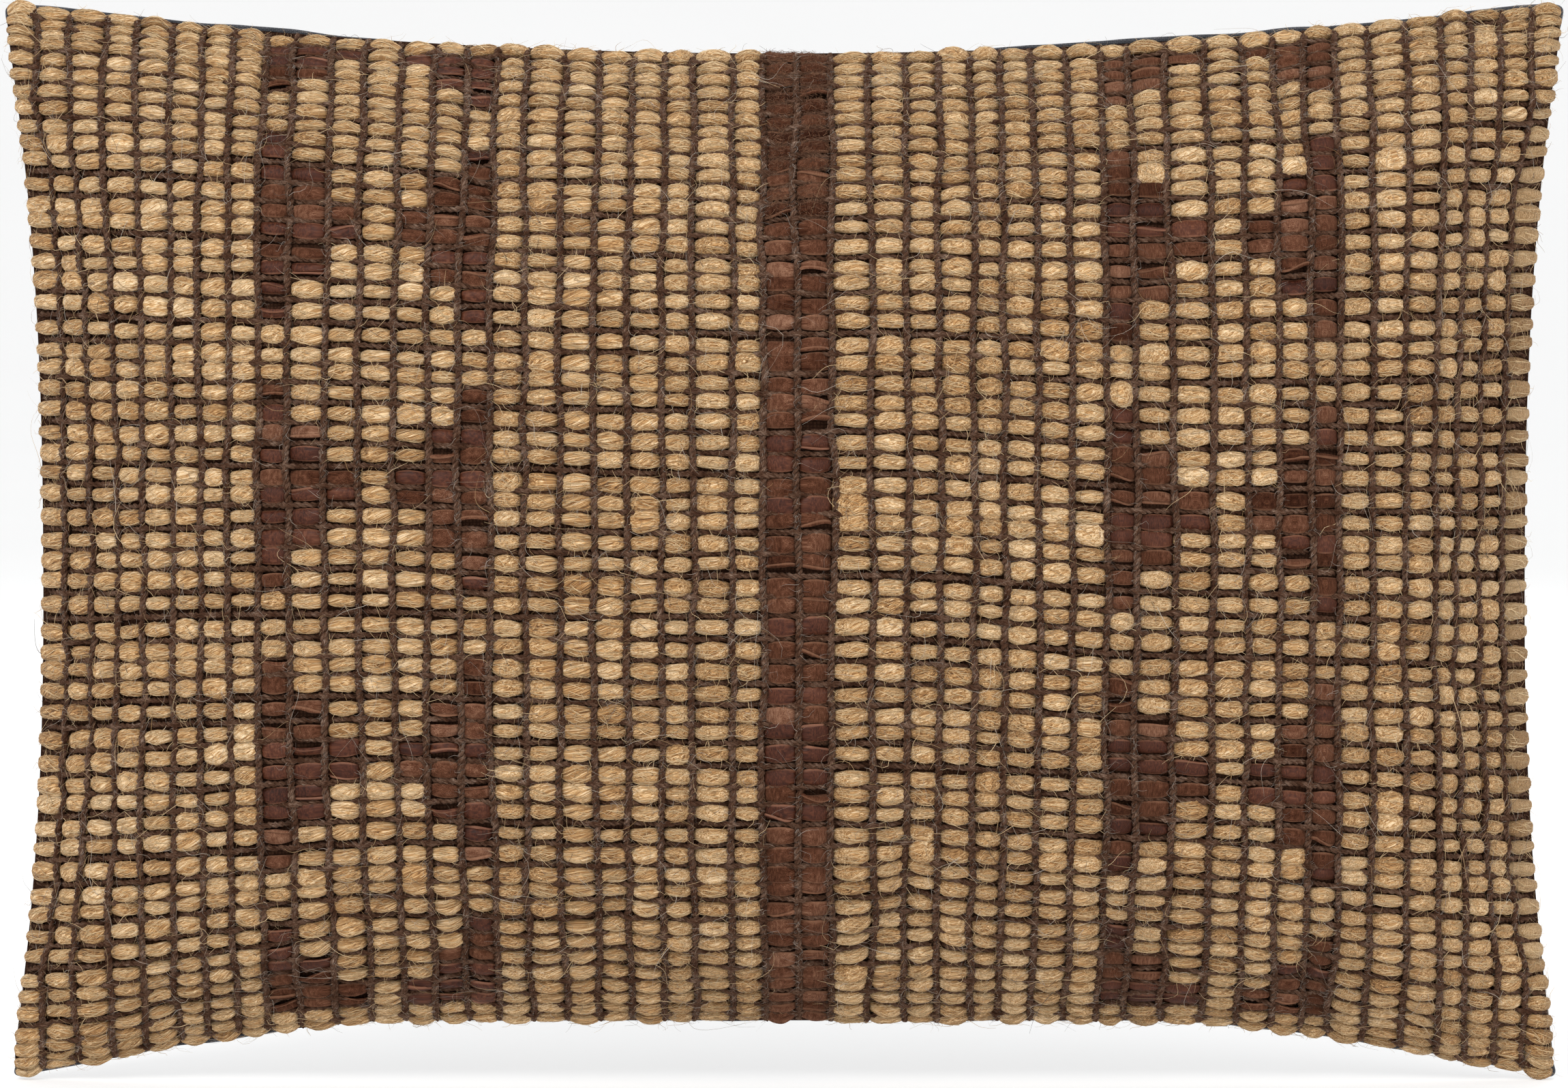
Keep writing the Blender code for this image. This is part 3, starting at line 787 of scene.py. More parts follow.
def float_rings(row, cell, share, turn):
    """Points round a jute float: row and cell pick it, share runs along it, turn goes round."""
    arch = np.sin(np.pi * np.clip(share, 0.0, 1.0))
    swell = arch ** 0.40
    place, across, out, pitch, width = FRONT.at(
        cell + COLUMN_FIRST + share,
        row + 0.5 + row_drift(cell, share, row) + TILT[row, cell] * (share - 0.5) * swell)
    up = np.cross(out, across)
    tall = 0.5 * FLOAT_HALF_TALL + 0.5 * FLOAT_PITCH_SHARE * pitch[..., 0]
    bow = 0.05 * np.sin(2 * np.pi * (share * 1.3 + 0.37 * row + 0.73 * cell))
    tall = tall * TALL[row, cell] * (0.40 + 0.60 * swell) * (1 + bow)
    thick = FLOAT_HALF_THICK * THICK[row, cell] * (0.38 + 0.62 * swell)
    height = -FLOAT_SINK + FLOAT_LIFT * arch ** 0.5
    along = (cell + share) * width[..., 0]
    spiral = turn + SLANT[row, cell] * share * width[..., 0] + 1.7 * (row * 3 + cell)
    ridge = (1 + 0.045 * np.cos(5 * spiral + 2.1 * cell)
             + 0.030 * np.cos(11 * spiral + row + 3 * share)
             + 0.022 * np.cos(17 * spiral + 1.3 * cell - 4 * share))
    cosine, sine = np.cos(turn), np.sin(turn)
    wide = tall * np.sign(cosine) * np.abs(cosine) ** 0.85 * ridge
    deep = thick * np.sign(sine) * np.abs(sine) ** 0.90 * ridge + height
    points = place + up * wide[..., None] + out * deep[..., None]
    fibre = np.stack([FIBRE_ROUND * np.cos(spiral) + 0 * along,
                      FIBRE_ROUND * np.sin(spiral) + 0 * along,
                      along / FIBRE_LONG + 0 * spiral], axis=-1)
    fibre = fibre + np.stack([row * 3.1 + cell * 7.7, cell * 2.3 + 0.0 * row,
                              row * 5.9 + 0.0 * cell], axis=-1)
    return points, fibre, out, across, up


def runs_of(row):
    """Stretches of a row that are jute, as (first cell, last cell), between the leather."""
    edges = np.flatnonzero(np.diff(np.concatenate([[1], IS_LEATHER[row].astype(int), [1]])))
    return edges.reshape(-1, 2)


def make_jute():
    """The jute floats, a few rows to a piece."""
    shares = 0.5 - 0.5 * np.cos(np.pi * np.arange(FLOAT_STEPS) / FLOAT_STEPS)
    turn = np.linspace(0, 2 * np.pi, FLOAT_SIDES, endpoint=False)
    turn = turn - np.pi / 2 + 0.55 * np.sin(turn)       # closer together on the side that shows
    nodes = [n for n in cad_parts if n.startswith("jute_")]
    for top in range(0, ROWS, ROWS_PER_PIECE):
        tubes = Tubes()
        for row in range(top, min(top + ROWS_PER_PIECE, ROWS)):
            for first, last in runs_of(row):
                cell = np.repeat(np.arange(first, last), FLOAT_STEPS)
                share = np.tile(shares, last - first)
                cell = np.append(cell, last - 1)[:, None]
                share = np.append(share, 1.0)[:, None]
                points, fibre, *_ = float_rings(np.full_like(cell, row), cell, share,
                                                turn[None, :])
                tone = np.broadcast_to(TONE[row, cell], points.shape[:2])
                tubes.add(points[None], fibre=fibre[None], tone=tone[None])
        piece = tubes.build(f"jute_floats_rows_{top + 1:02d}", JUTE)
        finish_piece(piece, "jute", *nodes)


# ------------------------------------------------------------------ dark cords and ground weft
def cord_centre(line, row):
    """Middle of a tie cord and its frame: it rides high over the floats, low between them."""
    column = line + drift_of_cord(line, row)
    place, across, out, _, _ = FRONT.at(column, row)
    ends = np.clip(np.minimum(row, ROWS - row) / 0.7, 0, 1)
    height = (CORD_LIFT - CORD_RIDE * np.cos(2 * np.pi * row)) * ends - CORD_DIVE * (1 - ends)
    return place + out * height[..., None], across, out


def strand_rings(centre, side, out, swirl, radius, offset, sides, row):
    """Rings of one strand that winds round a line of points."""
    middle = centre + (side * np.cos(swirl)[..., None] + out * np.sin(swirl)[..., None] * 0.85) \
        * offset
    turn = np.linspace(0, 2 * np.pi, sides, endpoint=False)
    along = unit(np.gradient(middle, axis=-2))
    lift = unit(np.cross(along, side))
    flat = unit(np.cross(lift, along))
    rings = (middle[..., None, :]
             + flat[..., None, :] * (np.cos(turn)[:, None] * radius[..., None, None])
             + lift[..., None, :] * (np.sin(turn)[:, None] * radius[..., None, None]))
    spiral = turn + (row * 2.4)[..., None]
    fibre = np.stack([2.2 * np.cos(spiral), 2.2 * np.sin(spiral),
                      np.broadcast_to((row * 4.2)[..., None], spiral.shape)], axis=-1)
    return rings, fibre


def strand_piece(name, material, slot, rings, node_name):
    """A piece that is one even-toned strand, made from its rings."""
    tubes = Tubes()
    tubes.add(rings[None], tone=np.full((1,) + rings.shape[:2], 0.5))
    return finish_piece(tubes.build(name, material), slot, node_name)


def make_cords():
    """The tie cords, each of two twisted strands, several cords to a piece."""
    lines = np.arange(COLUMN_FIRST + 1, COLUMN_LAST)
    row = np.linspace(0.05, ROWS - 0.05, ROWS * CORD_STEPS)
    for start in range(0, len(lines), CORDS_PER_PIECE):
        group = lines[start:start + CORDS_PER_PIECE][:, None]
        rows = np.broadcast_to(row, (len(group), len(row)))
        centre, across, out = cord_centre(group, rows)
        phase = rng.uniform(0, 2 * np.pi, (len(group), 1))
        wander = 1.4 * smooth_noise(rows.shape, (1, 16))
        tubes = Tubes()
        for strand in (0, np.pi):
            knobbly = 1 + 0.26 * smooth_noise(rows.shape, (1, 4)) \
                + 0.22 * np.maximum(0, np.cos(2 * np.pi * rows)) ** 3
            swirl = 2 * np.pi * CORD_TWIST * rows + strand + phase + wander
            rings, fibre = strand_rings(centre, across, out, swirl, CORD_STRAND * knobbly,
                                        CORD_STRAND * 0.88, CORD_SIDES, rows)
            tubes.add(rings, fibre=fibre + group[..., None, None] * 9.1 + strand)
        piece = tubes.build(f"tie_cords_{start // CORDS_PER_PIECE + 1}", DARK_YARN)
        finish_piece(piece, "ground", "front_ground_cloth")


def make_ground_weft():
    """A twisted dark yarn in each gap between rows, over one cord and under the next."""
    steps = GROUND_STEPS
    column = np.linspace(COLUMN_FIRST + 0.05, COLUMN_LAST - 0.05, COLUMNS * steps)[None, :]
    cell = np.clip(np.floor(column - COLUMN_FIRST).astype(int), 0, COLUMNS - 1)
    groups = np.array_split(np.arange(1, ROWS)[:, None], GROUND_PIECES)
    for part, gaps in enumerate(groups, start=1):
        drift = (ROW_DRIFT[gaps - 1, cell] + ROW_DRIFT[gaps, cell]) / 2
        kernel = np.ones(2 * steps + 1) / (2 * steps + 1)
        drift = np.stack([np.convolve(np.pad(line, steps, mode="edge"), kernel, mode="valid")
                          for line in drift])
        row = gaps + drift + 0.04 * smooth_noise(drift.shape, (1, 11))
        place, across, out, _, _ = FRONT.at(column, row)
        weave = np.cos(np.pi * column) * np.where(gaps % 2 == 0, 1, -1)
        height = GROUND_LIFT + GROUND_WAVE * np.sign(weave) * np.abs(weave) ** 4
        ends = np.minimum(column - COLUMN_FIRST, COLUMN_LAST - column) / 0.6
        ends = np.clip(ends, 0, 1)
        height = height * ends - GROUND_DIVE * (1 - ends)
        centre = place + out * height[..., None]
        up = np.cross(out, across)
        phase = rng.uniform(0, 2 * np.pi, gaps.shape)
        wander = 1.4 * smooth_noise(row.shape, (1, 17))
        tubes = Tubes()
        for strand in (0, np.pi):
            knobbly = 1 + 0.30 * smooth_noise(row.shape, (1, 4))
            swirl = 2 * np.pi * GROUND_TWIST * column + strand + phase + wander
            rings, fibre = strand_rings(centre, up, out, swirl, GROUND_YARN * knobbly,
                                        GROUND_YARN * 0.85, GROUND_SIDES,
                                        column * 1.5 + 0 * row)
            tubes.add(rings, fibre=fibre + gaps[..., None, None] * 6.3 + strand)
        piece = tubes.build(f"ground_weft_{part}", DARK_YARN)
        finish_piece(piece, "ground", "front_ground_cloth")


# ------------------------------------------------------------------ leather
def strip_section(sides, sharp):
    """A flat strip's section, with rounded edges: shares of its half width and thickness."""
    turn = np.linspace(0, 2 * np.pi, sides, endpoint=False) - np.pi / 2
    cosine, sine = np.cos(turn), np.sin(turn)
    return (np.sign(cosine) * np.abs(cosine) ** (2 / sharp),
            np.sign(sine) * np.abs(sine) ** (2 / sharp))


def make_leather():
    """The leather strips, one piece for each stepped block and one for the band."""
    wide, deep = strip_section(STRIP_SIDES, 4.5)
    fractions = np.arange(STRIP_STEPS) / STRIP_STEPS
    groups = {}
    for owner, row, first, last in STRIPS:
        groups.setdefault(owner, []).append((row, first, last))
    for owner, strips in groups.items():
        tubes = Tubes()
        hairy = []
        for row, first, last in strips:
            cells = np.arange(first, last) - COLUMN_FIRST
            cell = np.append(np.repeat(cells, STRIP_STEPS), cells[-1])
            share = np.append(np.tile(fractions, len(cells)), 1.0)
            hairy.append(add_strip(tubes, row, cell, share, wide, deep, owner))
        piece = tubes.build(owner + "_strips", SUEDE, GRAIN)
        finish_piece(piece, "leather", owner)
        strips = [strip for strip in hairy if strip is not None]
        if strips:
            make_nap(owner + "_nap", strips, np.flatnonzero(deep > 0.3))


def make_nap(name, strips, top_sides):
    """Short hair standing off the hairy strips of the band."""
    count = NAP_PER_CELL * 2 * len(strips)
    points, out, across, up = (np.stack(part) for part in zip(*strips))
    strip = rng.integers(0, len(strips), count)
    section = rng.integers(1, points.shape[1] - 1, count)
    roots = points[strip, section, rng.choice(top_sides, count)]
    out, across, up = (part[strip, section] for part in (out, across, up))
    roots = roots + across * rng.uniform(-0.0003, 0.0003, (count, 1))
    angle = rng.uniform(0, 2 * np.pi, count)
    hairs(name, NAP_HAIR, "leather", roots, spread(across, up, angle), out,
          rng.uniform(0.0009, 0.0026, count), rng.uniform(0.00005, 0.00010, count), 4, 1.8,
          ("leather_band_centre",))


def per_cell(cell, values):
    """One drawn value for each cell of a strip, spread over its sections."""
    return values[cell - cell.min()]


def fold_over(x, y, half, side, start):
    """Turns one edge of a strip's section up and over, from start (a share of its half width)."""
    flipped = x * side[:, None]
    line = (start * half)[:, None]
    beyond = np.maximum(flipped - line, 0)
    angle = np.minimum(beyond / FOLD_RADIUS, FOLD_MOST)
    rest = beyond - angle * FOLD_RADIUS
    middle = np.minimum(flipped, line) + FOLD_RADIUS * np.sin(angle) + rest * np.cos(angle)
    rise = FOLD_RADIUS * (1 - np.cos(angle)) + rest * np.sin(angle)
    return (middle - y * np.sin(angle)) * side[:, None], rise + y * np.cos(angle)


def add_strip(tubes, row, cell, share, wide, deep, owner):
    """One strip: it lies flat between the cords, dips under them, and curls a little."""
    count = cell.max() - cell.min() + 1
    in_band = owner == "leather_band_centre"
    hairy = in_band and row in HAIRY_ROWS
    grain = (not hairy) and rng.random() < GRAIN_SHARES[0 if in_band else 1]
    narrowest, widest = BAND_WIDTHS if in_band else MOTIF_WIDTHS
    width_draw = rng.uniform(narrowest, widest, count)
    folded = rng.random(count) < FOLD_SHARES[0 if hairy else 1]
    fold_side = rng.choice([-1, 1], count)
    fold_from = np.where(folded, rng.uniform(-0.3, 0.9, count), 2.0)
    fold_to = np.where(folded, rng.uniform(-0.3, 0.9, count), 2.0)
    roll_draw = rng.normal(0, 0.14, count)
    lean_draw = rng.normal(0, 0.045, count)
    curl_draw = rng.uniform(*STRIP_CURL, count)
    shift_draw = rng.normal(0, 0.035, count)
    arch = np.sin(np.pi * share)
    swell = arch ** 0.35
    shift = per_cell(cell, shift_draw) * swell
    centre_row = (row + 0.5 + row_drift(cell, share, np.full_like(cell, row)) + shift
                  + per_cell(cell, lean_draw) * (share - 0.5) * swell)
    place, across, out, pitch, width = FRONT.at(cell + COLUMN_FIRST + share, centre_row)
    up = np.cross(out, across)
    half = 0.5 * pitch[:, 0] * per_cell(cell, width_draw) * (0.48 + 0.52 * arch ** 0.42)
    half = np.minimum(half, STRIP_HALF_MOST)
    half_thick = STRIP_HALF_THICK + 0.00008 * np.sin(7 * share + row)
    height = -STRIP_SINK + STRIP_LIFT * arch ** 0.36
    roll = per_cell(cell, roll_draw) * np.sin(np.pi * share) ** 0.8
    ripple = 0.00012 * np.sin(share * 9 + row * 2.1)
    x, y = fold_over(half[:, None] * wide[None, :], half_thick[:, None] * deep[None, :],
                     half, per_cell(cell, fold_side),
                     per_cell(cell, fold_from) * (1 - share) + per_cell(cell, fold_to) * share)
    y = y - (per_cell(cell, curl_draw) * swell)[:, None] * (wide ** 2)[None, :] \
        + ripple[:, None] * wide[None, :]
    turned_x = x * np.cos(roll)[:, None] - y * np.sin(roll)[:, None]
    turned_y = x * np.sin(roll)[:, None] + y * np.cos(roll)[:, None] + height[:, None]
    points = (place[:, None] + up[:, None] * turned_x[..., None]
              + out[:, None] * turned_y[..., None])
    along = ((cell + share) * width[:, 0])[:, None] + 0 * x
    skin = np.stack([along, x, y], axis=-1) / SKIN_SCALE + [0, 0, row * 8.3]
    rim = np.clip((np.abs(wide) - 0.80) / 0.2, 0, 1)[None, :] + 0 * x
    tone_draw = rng.normal(-0.06 if hairy else 0.0, 0.035) + rng.normal(0, 0.030, count)
    tone = per_cell(cell, tone_draw)[:, None] + 0 * x
    tubes.add(points[None], kind=int(grain), skin=skin[None], rim=rim[None], tone=tone[None])
    return (points, out, across, up) if hairy else None


# ------------------------------------------------------------------ loose fibres
def tame(line):
    """Which fibres stay near the cover: inside its outline, and above the floor."""
    x, y, z = line[..., 0], line[..., 1], line[..., 2]
    u = x / (WIDTH / 2)
    v = 2 * z / HEIGHT - 1
    near = ((np.abs(x) < side_edge(v) + HAIR_REACH) & (np.abs(y) < HALF_DEPTH + HAIR_RISE)
            & (z < top_edge(u) + HAIR_REACH) & (z > bottom_edge(u) - HAIR_REACH)
            & (z > cad_box[0][2] + FLOOR_CLEAR))
    return near.all(axis=1)


def hairs(name, material, slot, roots, along, lift, length, radius, segments, wave, nodes):
    """Thin curved fibres from arrays of roots, directions and lengths, as three-sided tubes."""
    count = len(roots)
    t = np.linspace(0, 1, segments + 1)[None, :, None]
    side = unit(np.cross(along, lift))
    bend = rng.normal(0, 0.35, (count, 1, 1)) * wave
    sway = rng.normal(0, 0.10, (count, 1, 1)) * wave
    rise = rng.uniform(0.05, 0.40, (count, 1, 1))
    size = length[:, None, None]
    phase = rng.uniform(0, 2 * np.pi, (count, 1, 1))
    line = (roots[:, None]
            + along[:, None] * size * (t - 0.25 * bend ** 2 * t * t)
            + side[:, None] * size * (bend * t * t + sway * (np.sin(5 * t + phase)
                                                             - np.sin(phase)))
            + lift[:, None] * size * rise * (t - t * t * rng.uniform(0.3, 1.3, (count, 1, 1))))
    kept = tame(line)
    line, side, lift, radius = line[kept], side[kept], lift[kept], radius[kept]
    count = len(line)
    turn = np.arange(3) * 2 * np.pi / 3
    thin = (radius[:, None, None] * (1 - 0.6 * t))[..., None]
    ring = (side[:, None, None] * np.cos(turn)[:, None]
            + lift[:, None, None] * np.sin(turn)[:, None])
    tubes = Tubes()
    tone = rng.random((count, 1, 1))
    tubes.add(line[:, :, None] + ring * thin, tone=tone)
    return finish_piece(tubes.build(name, material), slot, *nodes)


def pick_floats(count):
    """Random places on the jute floats."""
    rows, cells = np.nonzero(~IS_LEATHER)
    picked = rng.integers(0, len(rows), count)
    share = rng.uniform(0.08, 0.92, (count, 1))
    turn = rng.normal(np.pi / 2, 0.95, (count, 1))
    points, _, out, across, up = float_rings(rows[picked][:, None], cells[picked][:, None],
                                             share, turn)
    return points.reshape(-1, 3), out.reshape(-1, 3), across.reshape(-1, 3), up.reshape(-1, 3)


def spread(across, up, angle):
    return unit(across * np.cos(angle)[:, None] + up * np.sin(angle)[:, None])


def make_fuzz():
    """Short fibres standing off the floats."""
    pieces, count = JUTE_FUZZ
    for part in range(1, pieces + 1):
        points, out, across, up = pick_floats(count)
        angle = rng.normal(0, 0.75, count) + np.pi * (rng.random(count) < 0.5)
        length = rng.gamma(2.6, 0.0010, count).clip(0.0010, 0.009)
        hairs(f"jute_fuzz_{part}", GOLD_HAIR, "jute", points, spread(across, up, angle), out,
              length, rng.uniform(0.00005, 0.00010, count), 3, 1.5, ())


def make_surface_fibres():
    """Fibres that have come loose along the floats: they follow the float, just off it."""
    rows, cells = np.nonzero(~IS_LEATHER)
    pieces, count = LOOSE_FIBRES
    for part in range(1, pieces + 1):
        picked = rng.integers(0, len(rows), count)
        row, cell = rows[picked][:, None], cells[picked][:, None]
        t = np.linspace(0, 1, 5)[None, :]
        first = rng.uniform(0.04, 0.55, (count, 1))
        share = first + (rng.uniform(0.25, 0.60, (count, 1)) * t).clip(0, 0.96)
        share = share.clip(0.03, 0.97)
        slope = rng.normal(0.25, 0.45, (count, 1))
        turn = rng.normal(np.pi / 2, 0.75, (count, 1)) + slope * t
        points, _, out, _, _ = float_rings(row, cell, share, turn)
        off = 0.00006 + 0.00022 * rng.random((count, 1)) * np.sin(np.pi * t)
        line = points + out * off[..., None]
        side = unit(np.cross(unit(np.gradient(line, axis=1)), out))
        radius = rng.uniform(0.00007, 0.00013, (count, 1)) * np.ones_like(share)
        rings, _ = strand_rings(line, side, out, 0 * share, radius, 0.0, 3, share)
        tubes = Tubes()
        tubes.add(rings, tone=rng.uniform(0.2, 1.0, (count, 1, 1)))
        finish_piece(tubes.build(f"jute_loose_fibres_{part}", GOLD_HAIR), "jute")


def make_stray_hairs():
    """Long loose fibres lying over the face, pale, golden and dark."""
    kinds = (("stray_hairs_gold", GOLD_HAIR, "jute", 2400, 0.0025, 0.00008),
             ("stray_hairs_pale", PALE_HAIR, "jute", 2200, 0.0028, 0.00006),
             ("stray_hairs_dark", DARK_HAIR, "ground", 1400, 0.0023, 0.00008))
    for name, material, slot, count, scale, radius in kinds:
        points, out, across, up = pick_floats(count)
        angle = rng.uniform(0, 2 * np.pi, count)
        length = rng.gamma(3.2, scale, count).clip(0.004, 0.028)
        hairs(name, material, slot, points, spread(across, up, angle), out, length,
              rng.uniform(0.6, 1.3, count) * radius, 8, 1.6, ())


def make_cord_fuzz():
    """Grey-brown fibres round the tie cords and over the leather."""
    pieces, count = CORD_FUZZ
    for part in range(1, pieces + 1):
        line = rng.integers(COLUMN_FIRST + 1, COLUMN_LAST, count)
        row = rng.uniform(0.4, ROWS - 0.4, count)
        centre, across, out = cord_centre(line[:, None], row[:, None])
        centre, across, out = centre[:, 0], across[:, 0], out[:, 0]
        up = np.cross(out, across)
        angle = rng.uniform(0, 2 * np.pi, count)
        length = rng.gamma(2.6, 0.0008, count).clip(0.001, 0.008)
        hairs(f"cord_fuzz_{part}", DARK_HAIR, "ground", centre + out * 0.0008,
              spread(across, up, angle), out, length,
              rng.uniform(0.00005, 0.00010, count), 4, 2.2, ())


# ------------------------------------------------------------------ the cover's plain cloth
def slab(name, outer, inner, front, material, **tags):
    """A closed sheet between two grids of points; front says that the outer one faces -Y."""
    columns, rows = outer.shape[:2]
    size = columns * rows
    ids = np.arange(size).reshape(columns, rows)
    rim = np.concatenate([ids[:-1, 0], ids[-1, :-1], ids[:0:-1, -1], ids[0, :0:-1]])
    following = np.roll(rim, -1)
    wall = np.stack([rim, following, following + size, rim + size], axis=-1)
    quads = [grid_quads(columns, rows, flip=front), grid_quads(columns, rows, not front) + size,
             wall[:, ::-1] if front else wall]
    points = np.concatenate([outer.reshape(-1, 3), inner.reshape(-1, 3)])
    tags = {tag: np.tile(values.reshape(-1, 3), (2, 1)) for tag, values in tags.items()}
    return mesh_object(name, points, np.concatenate(quads), tags=tags, materials=(material,))


def cloth_slab(name, sheet, material, fine):
    """A side of the cover as a closed layer of cloth, drawn thin at the seam."""
    columns = np.linspace(COLUMN_FIRST, COLUMN_LAST, int(COLUMNS / GRID_STEP) * fine + 1)
    rows = np.linspace(0, ROWS, int(ROWS / ROW_STEP) * fine + 1)
    column, row = np.meshgrid(columns, rows, indexing="ij")
    place, _, out, _, _ = sheet.at(column, row)
    edge = np.minimum(np.minimum(column - COLUMN_FIRST, COLUMN_LAST - column),
                      np.minimum(row, ROWS - row))
    thick = CLOTH_THICK * (0.3 + 0.7 * np.clip(edge / 1.5, 0, 1))[..., None]
    cloth = np.stack([place[..., 0], place[..., 2] + place[..., 1] * 0.4,
                      place[..., 1] * 0], axis=-1)
    return slab(name, place, place - out * thick, sheet is FRONT, material, cloth=cloth)


def make_cover():
    ground = cloth_slab("ground_cloth", FRONT, GROUND, 1)
    finish_piece(ground, "ground", "front_ground_cloth")
    back = cloth_slab("charcoal_back", BACK, CHARCOAL, 2)
    finish_piece(back, "back_cotton", "back_panel")


def seam_line(count):
    """Points round the seam on the back's edge, clockwise from the top left corner, and outwards."""
    columns, rows = COLUMNS, ROWS
    lap = 2 * (columns + rows)
    at = np.linspace(0, lap, count, endpoint=False)
    column = np.clip(at, 0, columns) - np.clip(at - columns - rows, 0, columns)
    row = np.clip(at - columns, 0, rows) - np.clip(at - 2 * columns - rows, 0, rows)
    place, *_ = BACK.at(column + COLUMN_FIRST, row)
    for _ in range(6):
        place = (np.roll(place, 1, 0) + 2 * place + np.roll(place, -1, 0)) / 4
    run = unit(np.roll(place, -1, 0) - np.roll(place, 1, 0))
    out = unit(np.cross(run, [0, 1, 0]))
    centre = place.mean(axis=0)
    out *= np.sign(np.sum(out * (place - centre), axis=1, keepdims=True))
    return place, out, at


def closed_tube(name, centre, radius, sides, material):
    """A tube along a loop of points that joins its own start."""
    run = unit(np.roll(centre, -1, 0) - np.roll(centre, 1, 0))
    side = unit(np.cross(run, [0, 1, 0]))
    lift = unit(np.cross(side, run))
    turn = np.linspace(0, 2 * np.pi, sides, endpoint=False)
    points = (centre[:, None] + (side[:, None] * np.cos(turn)[:, None]
                                 + lift[:, None] * np.sin(turn)[:, None])
              * radius[:, None, None])
    ids = np.arange(len(centre) * sides).reshape(len(centre), sides)
    turned = np.roll(ids, -1, 1)
    quads = np.stack([ids, np.roll(ids, -1, 0), np.roll(turned, -1, 0), turned], axis=-1)
    tags = {"cloth": points.reshape(-1, 3)[:, [0, 2, 1]]}
    return mesh_object(name, points.reshape(-1, 3), quads.reshape(-1, 4), tags=tags,
                       materials=(material,))


def make_seam():
    """The back's folded edge, which shows as a thin dark rim, and the lockstitch inside it."""
    place, out, at = seam_line(RIM_POINTS)
    pucker = smooth_noise((RIM_POINTS,), (14,))
    radius = RIM_RADIUS * (1 + 0.16 * pucker)
    middle, half = np.mean(RIM_HIDDEN), np.ptp(RIM_HIDDEN) / 2
    hidden = np.clip((half - np.abs(at + COLUMN_FIRST - middle)) / 3, 0, 1)
    for side_middle in (COLUMNS + ROWS / 2, 2 * COLUMNS + 1.5 * ROWS):
        hidden = np.maximum(hidden, np.clip((ROWS / 2 - np.abs(at - side_middle)) / 3, 0, 1))
    beyond = 0.0003 * (1 + pucker) - RIM_TUCK * hidden
    centre = place + out * beyond[:, None] + np.array([0, 0.0011, 0])
    finish_piece(closed_tube("back_folded_edge", centre, radius, 8, CHARCOAL),
                 "back_cotton", "back_panel")
    make_stitches(place, out, at)


def make_stitches(place, out, at):
    """The sewing thread along the seam, one piece for each run of it."""
    corners = np.array([0, COLUMNS, COLUMNS + ROWS, 2 * COLUMNS + ROWS, 2 * (COLUMNS + ROWS)])
    zip_half = MOUTH_END + MOUTH_FADE
    bottom = (at >= corners[2]) & (at < corners[3])
    parts = {"seam_thread_top": at < corners[1],
             "seam_thread_right": (at >= corners[1]) & (at < corners[2]),
             "seam_thread_bottom_right": bottom & (place[:, 0] > zip_half),
             "seam_thread_bottom_left": bottom & (place[:, 0] < -zip_half),
             "seam_thread_left": at >= corners[3]}
    for name, chosen in parts.items():
        line = place[chosen] + np.array([0, 0.0002, 0])
        step = np.concatenate([[0], np.cumsum(np.linalg.norm(np.diff(line, axis=0), axis=1))])
        far = np.arange(0.004, step[-1] - 0.004, 0.0005)
        line = read_along(far, step, line)
        edge = read_along(far, step, out[chosen])
        line = line - edge * 0.0010
        line[:, 1] += STITCH_RISE * np.sin(2 * np.pi * far / STITCH_LENGTH)
        side = unit(np.cross(unit(np.gradient(line, axis=0)), edge))
        rings, _ = strand_rings(line, side, edge, 2 * np.pi * far / 0.004,
                                np.full(len(far), SEAM_THREAD), 0.00008, 6, far)
        strand_piece(name + "_stitches", THREAD, "thread", rings, name)


# ------------------------------------------------------------------ the insert
def inner_form(shares):
    """Front and back of the cover drawn in towards the pillow's middle."""
    centre = (np.array(cad_box[0]) + np.array(cad_box[1])) / 2
    centre[1] = 0
    return [centre + (side - centre) * np.array(shares) for side in CLOSED_FORM]


def pad_side(name, side, thickness, outwards, material):
    """One side of the insert: a closed skin that runs to the insert's own seam."""
    out = unit(np.cross(np.gradient(side, axis=1), np.gradient(side, axis=0))) * outwards
    return slab(name, side, side - out * thickness, outwards > 0, material,
                cloth=side[..., [0, 2, 1]])


def make_insert():
    """The loose pad: two ticking sides, its fibre fill and the hand-sewn closing."""
    front, back = inner_form(TICKING_SHARES)
    shells = (("insert_ticking_front", front, 1, "insert_shell_front"),
              ("insert_ticking_back", back, -1, "insert_shell_back"))
    for name, side, outwards, replaced in shells:
        shell = pad_side(name, side, TICKING_THICK, outwards, TICKING)
        finish_piece(shell, "ticking", replaced)
    make_fill(*inner_form(FILL_SHARES))
    make_closing(front)


def make_fill(front, back):
    """The fibre, one lumpy closed body."""
    columns, rows = front.shape[:2]
    lumps = 1 + 0.03 * smooth_noise((columns, rows), (6, 6))
    swell = np.stack([np.ones_like(lumps), lumps, np.ones_like(lumps)], axis=-1)
    front, back = front * swell, back * swell
    inside = np.zeros((columns, rows), bool)
    inside[1:-1, 1:-1] = True
    back_ids = np.arange(columns * rows).reshape(columns, rows)
    back_ids[inside] = columns * rows + np.arange(inside.sum())
    points = np.concatenate([front.reshape(-1, 3), back[inside]])
    quads = np.concatenate([grid_quads(columns, rows, flip=True),
                            back_ids.ravel()[grid_quads(columns, rows)]])
    fill = mesh_object("polyester_fill", points, quads, materials=(FILL,),
                       tags={"tone": np.full(len(points), 0.5)})
    finish_piece(fill, "fill", "insert_fill")


